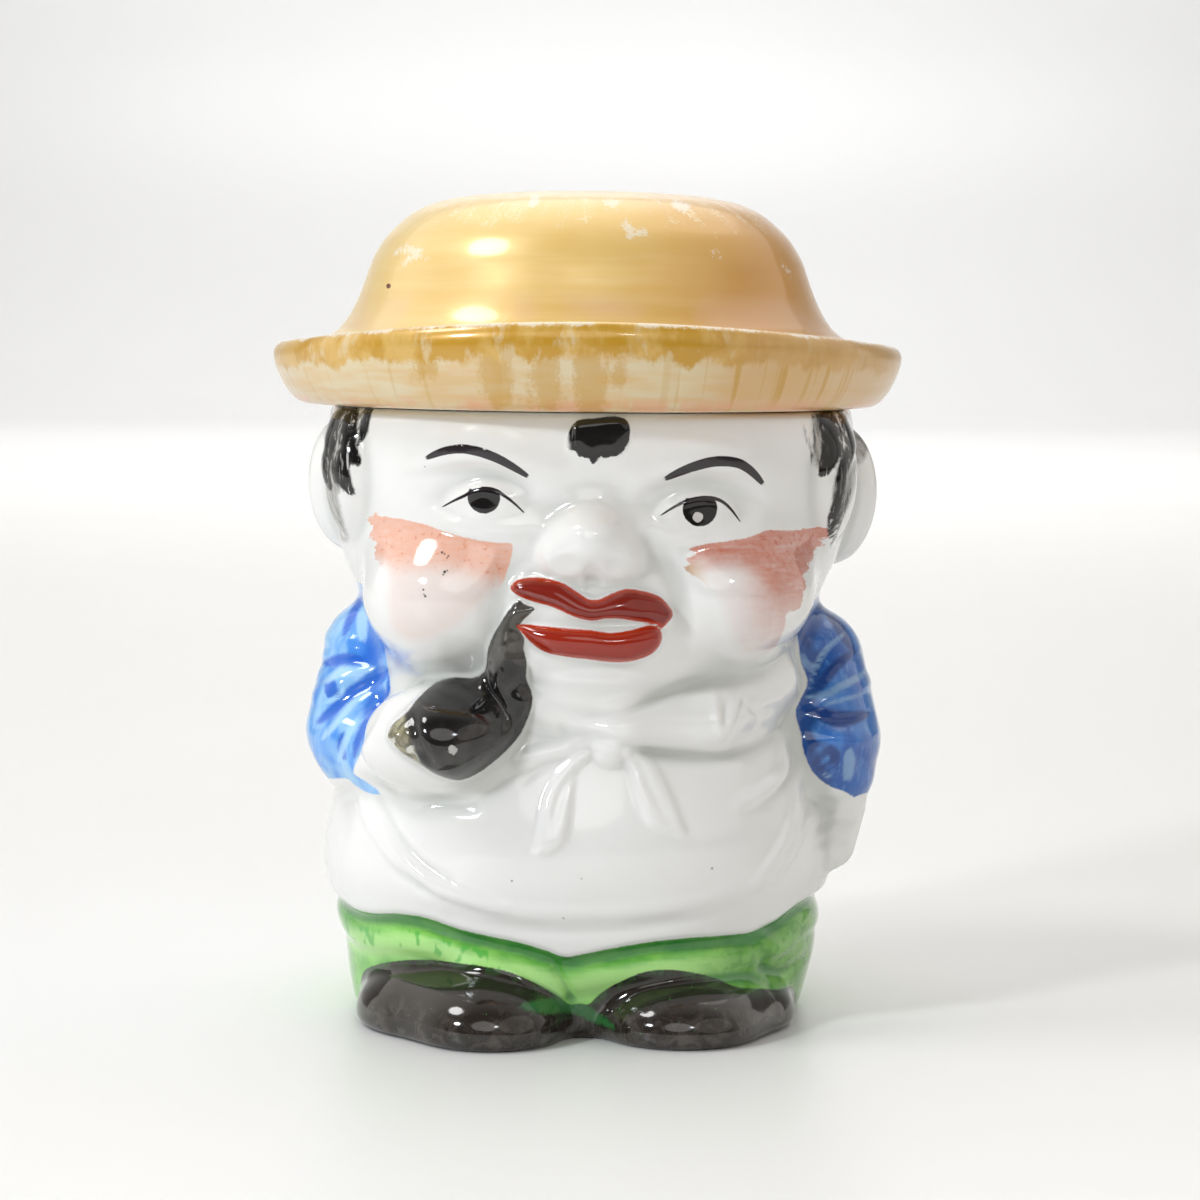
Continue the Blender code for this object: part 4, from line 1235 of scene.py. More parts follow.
@dataclass(frozen=True)
class PaintedGlaze:
    """White glaze with brushed enamel colours, each edge a little ragged; left and right are the picture's."""

    white: Colour = (0.82, 0.82, 0.81)
    shade: Colour = (0.50, 0.52, 0.49)
    red: Colour = (0.205, 0.013, 0.006)
    red_light: Colour = (0.50, 0.040, 0.008)
    sky: Colour = (0.10, 0.34, 0.80)
    pale_blue: Colour = (0.34, 0.60, 0.88)
    grass: Colour = (0.22, 0.57, 0.10)
    lime: Colour = (0.46, 0.82, 0.27)
    # Deep green of the painted shade on the trousers.
    leaf: Colour = (0.030, 0.20, 0.035)
    black: Colour = (0.005, 0.004, 0.004)
    smoke: Colour = (0.20, 0.19, 0.165)
    brown: Colour = (0.020, 0.015, 0.012)
    olive: Colour = (0.36, 0.34, 0.22)
    peach: Colour = (0.78, 0.33, 0.19)
    # Brick red: dots on the left cheek, and the right cheek's rouge, darker than the left's as painted shade.
    brick: Colour = (0.56, 0.135, 0.060)
    plum: Colour = (0.020, 0.014, 0.018)
    warm_white: Colour = (0.80, 0.78, 0.74)
    honey: Colour = (0.50, 0.25, 0.05)
    deep_brick: Colour = (0.42, 0.05, 0.02)
    meadow: Colour = (0.13, 0.44, 0.07)
    clover: Colour = (0.07, 0.44, 0.06)
    # Duller greens of the painted shade on the trousers' right side.
    moss: Colour = (0.14, 0.33, 0.05)
    deep_moss: Colour = (0.07, 0.27, 0.04)
    worn_brown: Colour = (0.085, 0.072, 0.062)
    shoe_rim: Colour = (0.035, 0.12, 0.03)
    shoe_smear: Colour = (0.03, 0.17, 0.045)
    shoe_dab: Colour = (0.06, 0.26, 0.07)
    shoe_chip: Colour = (0.45, 0.44, 0.38)
    bright_blue: Colour = (0.055, 0.25, 0.78)
    # Deeper blues for the painted shade on the right sleeve.
    cobalt: Colour = (0.055, 0.20, 0.56)
    deep_cobalt: Colour = (0.018, 0.10, 0.40)
    silk_blue: Colour = (0.16, 0.36, 0.66)
    left_fold: Colour = (0.018, 0.12, 0.60)
    # Fold blue for the right, darker as painted shade.
    shaded_right_fold: Colour = (0.006, 0.035, 0.19)
    left_gap: Colour = (0.42, 0.68, 0.92)
    # Gap blue for the right, darker as painted shade.
    shaded_right_gap: Colour = (0.24, 0.40, 0.62)
    deep_smoke: Colour = (0.075, 0.07, 0.055)
    soot: Colour = (0.05, 0.047, 0.04)
    pale_strand: Colour = (0.52, 0.52, 0.50)
    grey_strand: Colour = (0.17, 0.17, 0.16)
    charcoal: Colour = (0.030, 0.027, 0.025)
    pitch: Colour = (0.008, 0.007, 0.007)
    stem_grey: Colour = (0.115, 0.108, 0.095)
    bowl_grey: Colour = (0.075, 0.072, 0.07)
    blot: Colour = (0.006, 0.006, 0.006)
    deep_olive: Colour = (0.10, 0.09, 0.06)
    # Pale colour of the painted glints on the pipe's tip.
    pearl: Colour = (0.70, 0.70, 0.64)
    # Pale grey of a small spot on the pipe's bowl.
    pale_spot: Colour = (0.55, 0.55, 0.53)
    lower_red: Colour = (0.36, 0.020, 0.004)
    # Pale colour of the painted highlight on the right iris.
    iris_glint: Colour = (0.60, 0.57, 0.55)
    iron: Colour = (0.05, 0.045, 0.04)
    specks: tuple[tuple[Point, float, float], ...] = (
        ((-22.3, 78.0), 0.20, 0.85), ((-21.9, 77.8), 0.14, 0.8), ((-21.3, 77.5), 0.15, 0.8), ((-21.5, 77.2), 0.13, 0.7),
        ((-21.8, 75.1), 0.24, 0.9), ((-21.4, 75.3), 0.14, 0.8), ((-22.0, 74.7), 0.15, 0.8), ((-25.1, 72.3), 0.16, 0.85),
        ((-24.8, 71.3), 0.20, 0.85), ((-25.0, 71.6), 0.13, 0.7), ((-25.2, 91.2), 0.13, 0.5), ((-11.0, 26.8), 0.17, 0.6),
        ((-0.1, 27.4), 0.15, 0.4), ((20.4, 28.5), 0.22, 0.5), ((-2.9, 20.9), 0.2, 0.4),
    )

    def make(self) -> bpy.types.Material:
        """Makes the material.

        Returns:
            The finished material.
        """
        m = Enamels("painted_glaze")
        fine = m.cloudy(5200.0, 2.0, 0.6)
        soft = m.cloudy(130.0, 3.0, 0.5)
        m.colour = m.blend(soft.between(0.45, 0.75) * 0.25, self.white, self.warm_white)
        # Painted shade: grey laid into the skin's creases and broad hollows, deeper where the skin lies further below
        # the skin round it.
        m.lay(m.attribute("hollow").between(0.1, 1.6) * 0.45, self.shade)
        m.lay(m.attribute("crease").between(0.05, 0.7) * 0.5, self.shade)
        for paint in (
            self._blush, self._trousers, self._shoes, self._jacket, self._hair, self._pipe, self._lips, self._eyes,
            self._specks,
        ):
            paint(m)
        ripple = m.cloudy(260.0, 2.0, 0.45)
        bump = m.bump(0.10, 0.0006, ripple + fine * 0.04)
        roughness = 0.06 + 0.06 * soft
        return m.dress(
            Base_Color=m.colour, Roughness=roughness, Normal=bump, IOR=1.5, Coat_Weight=0.35, Coat_Roughness=0.03
        )

    def _blush(self, m: Enamels) -> None:
        """Rouge on both cheeks: sharp and mottled above, fading down the cheek.

        Args:
            m: The enamels.
        """
        brushed = m.brushed(300.0, 1500.0, 2.0, 0.6)
        mottled = m.cloudy(1100.0, 2.0, 0.6)
        grain = 0.62 + 0.45 * brushed + 0.35 * mottled
        teeth = (m.brushed(260.0, 900.0, 2.0, 0.7) - 0.5) * 3.4
        edge, strong, _ = m.attribute_parts("blush_left")
        edge = edge + m.ragged * 0.4 + teeth * m.x.between(-30.0, -33.5)
        share = edge.between(-0.1, 0.2) * (0.20 + 0.52 * strong) * grain
        m.lay(share * edge.between(-0.2, 2.2).most(strong), self.peach)
        dots = mottled.between(0.60, 0.72) * edge.between(0.2, 0.9) * strong
        m.lay(dots * 0.45, self.brick)
        # The right cheek: its rouge is laid in darker brick than the left cheek's peach, as painted shade.
        edge, strong, _ = m.attribute_parts("blush_right")
        edge = edge + m.ragged * 0.5 + teeth * 0.5 * m.x.between(31.0, 34.0)
        column = m.x.between(22.0, 31.0) * m.z.between(59.0, 74.0) * 0.45 + 0.12
        share = edge.between(-0.1, 0.2) * (strong * (0.28 + 0.50 * m.z.between(64.0, 76.0))).most(column) * grain
        m.lay(share * edge.between(-0.2, 2.6).most(strong), self.brick)
        pale = m.brushed(140.0, 900.0, 2.0, 0.5, tilt=-0.2).between(0.60, 0.68)
        m.lay(pale * edge.between(0.3, 1.0) * strong * 0.14, self.white)
        tail = edge.between(-0.1, 0.2) * m.x.between(20.0, 16.0) * m.z.between(77.6, 76.0)
        m.lay(tail * 0.6, self.honey)
        corner = m.x.between(24.0, 32.0) * m.z.between(75.0, 79.0)
        deep = mottled.between(0.55, 0.7) * edge.between(0.0, 0.8) * strong * corner
        m.lay(deep * 0.5, self.deep_brick)

    def _trousers(self, m: Enamels) -> None:
        """Light green with pale rolls, and painted shade: a dark band just below the overhanging smock, dark creases
        and folds, and darker green on the right.

        Args:
            m: The enamels.
        """
        below = m.attribute("trousers") + m.ragged * 0.4
        streak = m.brushed(110.0, 700.0, 3.0, 0.55)
        wash = m.cloudy(220.0, 2.0, 0.5)
        edge = below + (streak - 0.5) * 1.6
        # Painted shade: the deep green band just below the overhanging smock.
        band = edge.between(2.9, 1.6)
        # Painted shade: duller, darker green towards the right, the side away from the lamps; the pale roll fades there
        # too.
        right = m.x.between(14.0, 30.0)
        green = m.blend(wash.between(0.35, 0.65), self.grass, self.meadow)
        pale = edge.between(2.6, 4.4) * edge.between(9.6, 6.6) * (1.0 - 0.75 * right)
        green = m.blend(pale * 0.85, green, self.lime)
        dabs = m.brushed(520.0, 330.0, 1.0, 0.4).between(0.54, 0.64)
        dabs = dabs * edge.between(2.4, 3.2) * edge.between(6.4, 5.4) * m.x.between(-8.0, -14.0)
        green = m.blend(dabs * 0.75, green, self.clover)
        mottle = m.cloudy(480.0, 2.0, 0.5).between(0.48, 0.62) * right
        green = m.blend(right * 0.55, green, self.moss)
        green = m.blend(mottle * 0.6, green, self.deep_moss)
        # Painted shade: the band, the creases and the band's left end all darken to deep green.
        folds = m.attribute("crease").between(0.12, 0.55)
        side = m.x.between(-30.0, -40.0) * m.z.between(12.0, 16.0)
        green = m.blend((band * (0.62 + 0.5 * wash)).most(folds * 0.8).most(side * 0.5).least(1.0), green, self.leaf)
        m.lay(below.between(-0.12, 0.2), green)

    def _shoes(self, m: Enamels) -> None:
        """Brown-black, thinner low down, with green where the brush went over.

        Args:
            m: The enamels.
        """
        shoe = m.attribute("shoes") + m.ragged * 0.35
        thin = (m.cloud.between(0.42, 0.70) * m.z.between(9.0, 3.0) * 0.75).least(1.0)
        dark = m.blend(thin, self.brown, self.worn_brown)
        rim = shoe.between(1.6, 0.2) * m.cloud.between(0.40, 0.62)
        dark = m.blend(rim * 0.55, dark, self.shoe_rim)
        smear = m.attribute("smear") + m.ragged * 1.6
        dark = m.blend(smear.between(-0.3, 0.5) * 0.75, dark, self.shoe_smear)
        dabs = m.cloudy(700.0, 3.0, 0.6).between(0.69, 0.74)
        dark = m.blend(dabs * shoe.between(0.0, 1.0) * 0.6, dark, self.shoe_dab)
        chips = m.cloudy(900.0, 1.0, 0.5).between(0.84, 0.86)
        dark = m.blend(chips * 0.7, dark, self.shoe_chip)
        m.lay(shoe.between(-0.12, 0.15), dark)

    def _jacket(self, m: Enamels) -> None:
        """Cobalt washes over the white: light with pale gaps on the left, and deep on the right and in the creases as
        painted shade.

        Args:
            m: The enamels.
        """
        jacket = m.attribute("jacket") + m.ragged * 0.4
        # Painted shade: the blue deepens towards the right, the side away from the lamps, with darker fold and gap
        # colours there.
        right = m.x.between(-10.0, 10.0)
        wash = m.brushed(150.0, 110.0, 2.0, 0.5, swirl=0.5)
        silk = m.brushed(900.0, 260.0, 2.0, 0.5, tilt=0.7)
        streaked = (wash.between(0.34, 0.64) * 0.8 + silk.between(0.4, 0.7) * 0.2).least(1.0)
        light = m.blend(streaked, self.pale_blue, self.sky)
        light = m.blend(wash.between(0.50, 0.68) * 0.8, light, self.bright_blue)
        shaded_blue = m.blend(wash.between(0.35, 0.65), self.cobalt, self.deep_cobalt)
        shaded_blue = m.blend(silk.between(0.52, 0.72) * 0.35, shaded_blue, self.silk_blue)
        blue = m.blend(right, light, shaded_blue)
        # Painted shade: the creases darken to the fold blue, along with the dark brush marks.
        fold = m.attribute("crease").between(0.05, 0.45)
        dark = (m.attribute("blue_dark") + m.ragged * 0.5).between(-0.35, 0.45)
        deep = m.blend(right, self.left_fold, self.shaded_right_fold)
        blue = m.blend(dark.most(fold * 0.8) * 0.88, blue, deep)
        gap = (m.attribute("blue_light") + m.ragged * 0.5).between(-0.35, 0.35)
        blue = m.blend(gap * 0.8, blue, m.blend(right, self.left_gap, self.shaded_right_gap))
        m.lay(jacket.between(-0.15, 0.2), blue)

    def _hair(self, m: Enamels) -> None:
        """Black leaf-shaped brush marks over grey at the temples, and strokes along the locks behind.

        Args:
            m: The enamels.
        """
        streak = m.brushed(800.0, 150.0, 3.0, 0.6)
        grey = (m.attribute("lock_grey") + m.ragged * 0.8).between(-0.5, 0.6)
        tone = m.blend(streak.between(0.35, 0.65), self.smoke, self.deep_smoke)
        m.lay(grey * (0.35 + 0.75 * streak), tone)
        mark = m.attribute("lock_black") + m.ragged * 0.35 + (streak - 0.5) * 1.5
        ink = m.blend(streak.between(0.56, 0.72) * 0.6, self.black, self.soot)
        gaps = m.brushed(1500.0, 210.0, 2.0, 0.6).between(0.57, 0.66)
        m.lay(mark.between(-0.22, 0.30) * (1.0 - 0.62 * gaps * mark.between(1.7, 0.4)), ink)

        hair = m.attribute("hair") + m.ragged * 0.6
        flow = m.vector("locks")
        lock, _, _ = m.attribute_parts("locks")
        mapped = m.node("ShaderNodeMapping", {}, {"Vector": flow, "Scale": (2.3, 0.10, 1.0)})
        strand = m.noise(mapped, 1.0, 3.0, 0.65)
        ridge = m.node("ShaderNodeMath", {"operation": "PINGPONG"}, [lock, 0.5]) * 2.0
        body = (ridge.between(0.10, 0.50) * 0.75 + strand * 0.75).between(0.50, 0.80)
        back = m.blend(strand.between(0.3, 0.7), self.pale_strand, self.grey_strand)
        back = m.blend(body, back, self.black)
        m.lay(hair.between(-0.3, 0.3) * (0.30 + 0.7 * body.most(hair.between(0.5, 2.0))), back)
        tuft = m.attribute("tuft") + m.ragged * 0.9 * m.z.between(97.0, 94.0) + m.ragged * 0.3
        thin = m.x.between(-1.4, -2.8) * streak.between(0.42, 0.60) * 0.75
        m.lay(tuft.between(-0.1, 0.15) * (1.0 - thin), self.black)

    def _pipe(self, m: Enamels) -> None:
        """A grey wash on the stem, blacker blots on the bowl with a small pale spot, and an olive tip on the left with
        pale painted glints low on it.

        Args:
            m: The enamels.
        """
        pipe = m.attribute("pipe") + m.ragged * 0.3
        blots = m.cloudy(260.0, 2.0, 0.5, 0.4).between(0.36, 0.62)
        dark = m.blend(blots, self.charcoal, self.pitch)
        stem = m.z.between(59.4, 62.6)
        dark = m.blend(stem * (0.40 + 0.4 * m.cloud), dark, self.stem_grey)
        low = m.z.between(50.0, 45.0) * m.x.between(-25.0, -20.0)
        dark = m.blend(low * 0.5, dark, self.bowl_grey)
        black = (m.attribute("pipe_black") + m.ragged * 0.7).between(-0.3, 0.45)
        dark = m.blend(black * 0.92, dark, self.blot)
        tip = (m.x + (m.z - 50.0) * 0.35).between(-26.4, -27.4)
        pearl = m.blend(m.cloud.between(0.35, 0.65), self.olive, self.deep_olive)
        # Painted highlights: pale glints streaked low across the olive tip.
        tip_glints = m.brushed(500.0, 500.0, 1.0, 0.5, tilt=0.9).between(0.56, 0.62)
        pearl = m.blend(tip_glints * m.z.between(50.6, 49.0) * 0.8, pearl, self.pearl)
        dark = m.blend(tip, dark, pearl)
        # A small pale grey spot low on the bowl.
        worn = self._dot(m, (-20.2, 48.0), 0.7, m.ragged * 1.4)
        dark = m.blend(worn * 0.8, dark, self.pale_spot)
        m.lay(pipe.between(-0.12, 0.15), dark)

    def _lips(self, m: Enamels) -> None:
        """Thick brick red, brighter and more orange near its edges and on the lower lip.

        Args:
            m: The enamels.
        """
        lips = m.attribute("lips") + m.ragged * 0.25
        lower = m.z.between(67.9, 67.2)
        edge = lips.between(0.8, 0.05)
        body = m.blend(lower * 0.65 + m.cloud.between(0.5, 0.75) * 0.2, self.red, self.lower_red)
        m.lay(lips.between(-0.1, 0.15), m.blend(edge * 0.8, body, self.red_light))

    def _eyes(self, m: Enamels) -> None:
        """Brows, lid lines and irises, each one brush mark, and a painted highlight on the right iris.

        Args:
            m: The enamels.
        """
        for centre, half, top, spot in (
            ((-15.8, 86.75), 2.6, 88.0, None),
            ((17.85, 85.2), 2.75, 86.9, (17.5, 83.9)),
        ):
            dx, dz = m.x - centre[0], m.z - centre[1]
            disc = half - (dx * dx + dz * dz) ** 0.5 + m.ragged * 0.25
            disc = disc.least(top - m.z).least(-m.front - 20.0)
            m.lay(disc.between(-0.06, 0.12), self.black)
            # Painted highlight: a pale spot on the right iris.
            if spot:
                dot = self._dot(m, spot, 0.8, m.ragged * 0.4)
                m.lay(dot, self.iris_glint)
        chips = (m.cloudy(2600.0, 2.0, 0.7) - 0.5) * 1.5
        for name, half, taper, chipped in (
            ("left_brow", 0.76, 0.5, True),
            ("right_brow", 0.82, 0.5, False),
            ("left_lid", 0.30, 0.8, False),
            ("right_lid", 0.30, 0.8, False),
        ):
            across, along, _ = m.attribute_parts(name)
            swell = (4.0 * along * (1.0 - along)).most(0.0) ** taper
            mark = half * (0.25 + 0.75 * swell) - across.size() + m.ragged * 0.10
            if chipped:
                middle = along.between(0.20, 0.30) * along.between(0.62, 0.55)
                mark = mark + (chips * across.between(0.0, 0.4) * middle).least(0.0)
            ends = along.between(0.0, 0.02) * along.between(1.0, 0.98)
            m.lay(mark.between(-0.06, 0.08) * ends, self.plum)

    def _dot(self, m: Enamels, place: Point, half: float, ragged: Any = 0.0) -> Socket:
        """A round spot on the front.

        Args:
            m: The enamels.
            place: Its middle.
            half: Its radius.
            ragged: Noise that frays its edge.

        Returns:
            A share from 0 to 1.
        """
        dx, dz = m.x - place[0], m.z - place[1]
        return (half - (dx * dx + dz * dz) ** 0.5 + ragged).between(-0.07, 0.07) * m.front.between(-20.0, -24.0)

    def _specks(self, m: Enamels) -> None:
        """Iron specks and pinholes, each at its own place.

        Args:
            m: The enamels.
        """
        for place, half, share in self.specks:
            m.lay(self._dot(m, place, half) * share, self.iron)


@dataclass(frozen=True)
class PlainGlaze:
    """Clear white glaze, as on the inside of the pot and the hat."""

    name: str = "inside_glaze"
    white: Colour = (0.78, 0.77, 0.74)
    pooled: Colour = (0.68, 0.68, 0.64)

    def make(self) -> bpy.types.Material:
        """Makes the material.

        Returns:
            The finished material.
        """
        m = Mixing(self.name)
        pool = m.cloudy(90.0, 3.0, 0.55)
        colour = m.blend(pool.between(0.4, 0.7), self.white, self.pooled)
        bump = m.bump(0.12, 0.0006, m.cloudy(240.0))
        return m.dress(Base_Color=colour, Roughness=0.08 + 0.08 * pool, Normal=bump, Coat_Weight=0.5)


@dataclass(frozen=True)
class BareClay:
    """Unglazed clay, wiped clean where a piece stands in the kiln or in its seat."""

    name: str = "bare_clay"
    clay: Colour = (0.72, 0.68, 0.60)
    stain: Colour = (0.42, 0.33, 0.24)

    def make(self) -> bpy.types.Material:
        """Makes the material.

        Returns:
            The finished material.
        """
        m = Mixing(self.name)
        dirt = m.cloudy(240.0, 4.0, 0.65)
        grain = m.cloudy(3500.0, 2.0, 0.7)
        colour = m.blend(dirt.between(0.5, 0.8) * 0.6, self.clay, self.stain)
        bump = m.bump(0.35, 0.0002, grain)
        return m.dress(Base_Color=colour, Roughness=0.62 + 0.2 * grain, Normal=bump)


@dataclass(frozen=True)
class GoldLustre:
    """Golden tan lustre brushed over the glaze, with a pale brim edge and worn white places; painted light makes it
    paler on the left, painted shade darker on the right, and the band on the brim's upper edge is partly a painted
    highlight.
    """

    tan: Colour = (0.80, 0.54, 0.175)
    honey: Colour = (0.86, 0.65, 0.285)
    # Amber laid towards the right as painted shade.
    shaded_amber: Colour = (0.60, 0.27, 0.030)
    ochre: Colour = (0.54, 0.285, 0.014)
    cream: Colour = (0.70, 0.59, 0.38)
    blush: Colour = (0.72, 0.37, 0.19)
    bare: Colour = (0.84, 0.80, 0.70)
    thin: Colour = (0.86, 0.73, 0.47)
    # Paler tan laid towards the left as painted light.
    lit_tan: Colour = (0.82, 0.66, 0.34)
    pink: Colour = (0.80, 0.52, 0.33)
    streaked_cream: Colour = (0.68, 0.47, 0.22)
    # Darker cream laid towards the right as painted shade.
    shaded_cream: Colour = (0.64, 0.38, 0.14)
    light_ochre: Colour = (0.66, 0.41, 0.10)
    # Darker ochre laid towards the right as painted shade.
    shaded_ochre: Colour = (0.58, 0.33, 0.12)
    iron: Colour = (0.16, 0.05, 0.015)
    speck: Point = (-32.0, 119.4)
    speck_radius: float = 0.42

    def make(self) -> bpy.types.Material:
        """Makes the material.

        Returns:
            The finished material.
        """
        m = Mixing("gold_lustre")
        wall, height, _ = m.attribute_parts("brim")
        flow = m.vector("brim_flow")
        x = m.along(0)
        front = m.along(1)

        def streaks(across: float, up: float, seed: float, detail: float = 4.0) -> Socket:
            """Noise drawn out round the hat."""
            settings = {"Vector": flow, "Scale": (across, across, up), "Location": (seed, seed, seed)}
            return m.noise(m.node("ShaderNodeMapping", {}, settings), 1.0, detail, 0.6)

        brushed = streaks(1.2, 20.0, 3.0, 3.0)
        patches = streaks(2.2, 2.6, 11.0, 2.0)
        grain = m.cloudy(1900.0, 3.0, 0.65)
        colour = m.blend(brushed.between(0.30, 0.72) * 0.55 + patches.between(0.4, 0.7) * 0.35, self.tan, self.honey)
        # Painted light and shade: paler tan towards the lit left, deeper amber towards the right.
        colour = m.blend(x.between(-12.0, -42.0) * 0.45, colour, self.lit_tan)
        colour = m.blend(x.between(0.0, 30.0) * (0.70 + 0.30 * patches), colour, self.shaded_amber)
        pink = m.attribute("crown_foot") * patches.between(0.40, 0.60)
        colour = m.blend(pink * 0.55, colour, self.pink)

        # Brim edge: ochre above, with a ragged lower edge and runs down into the cream below
        ragged = (streaks(13.0, 1.2, 23.0, 4.0) - 0.5) * 0.46 + (grain - 0.5) * 0.12
        split = (height + ragged).between(0.64, 0.54)
        runs = m.attribute("runs") + (grain - 0.5) * 2.6 + (streaks(20.0, 5.0, 67.0, 4.0) - 0.5) * 5.0
        pale = m.blend(streaks(3.0, 9.0, 31.0, 2.0).between(0.35, 0.65), self.cream, self.streaked_cream)
        # Painted shade: the cream below darkens towards the right.
        pale = m.blend(x.between(12.0, 26.0) * 0.65, pale, self.shaded_cream)
        upright = streaks(24.0, 0.5, 43.0, 2.0).between(0.55, 0.66)
        pale = m.blend(upright * (0.25 + 0.45 * x.between(10.0, 24.0)), pale, self.ochre)
        foot = height.between(0.22, 0.05) * streaks(6.0, 2.0, 47.0).between(0.42, 0.56)
        pale = m.blend(foot * 0.85, pale, self.blush)
        pale = m.blend(runs.between(-0.7, 0.9) * (0.40 + 0.40 * patches), pale, self.ochre)
        upper = m.blend(streaks(7.0, 3.0, 37.0).between(0.42, 0.60), self.ochre, self.light_ochre)
        upper = m.blend(streaks(15.0, 4.0, 71.0, 5.0).between(0.56, 0.68) * 0.55, upper, self.cream)
        # Painted shade: the ochre band darkens towards the right.
        upper = m.blend(x.between(14.0, 30.0) * 0.6, upper, self.shaded_ochre)
        colour = m.blend(wall, colour, m.blend(split, upper, pale))

        # Wear: scratches at their own places and scuffs on the shoulder, and a broken pale band on the brim's upper
        # edge, partly wear and partly a painted highlight
        scuffs = streaks(11.0, 26.0, 53.0, 6.0)
        scratched = (m.attribute("scratches") + (grain - 0.5) * 2.8 + (scuffs - 0.5) * 2.4).between(-0.1, 0.5)
        shoulder = (scuffs * 0.72 + m.attribute("crown_wear") * 0.17 + (grain - 0.5) * 0.5).between(0.53, 0.68)
        # The pale band along the brim's upper edge: partly wear, partly a painted highlight.
        edge = m.attribute("lip_wear") * 0.30 + streaks(8.0, 3.0, 61.0, 5.0) + (grain - 0.5) * 0.40
        edge = edge.between(0.70, 0.84)
        colour = m.blend(shoulder * 0.60, colour, self.thin)
        worn = (scratched * 0.62).most(edge * 0.62)
        colour = m.blend(worn, colour, self.bare)
        dx, dz = x - self.speck[0], m.along(2) - self.speck[1]
        speck = self.speck_radius - (dx**2.0 + dz**2.0) ** 0.5
        colour = m.blend(speck.between(-0.05, 0.08) * front.between(-5.0, -10.0), colour, self.iron)
        metal = (0.11 - 0.11 * worn.most(wall * split * 0.6)).most(0.0)
        bump = m.bump(0.10, 0.0005, m.cloudy(170.0) + brushed * 0.08)
        return m.dress(
            Base_Color=colour, Metallic=metal, Roughness=0.27 + 0.10 * scuffs, Normal=bump, Coat_Weight=0.6,
            Coat_Roughness=0.09, IOR=1.5,
        )


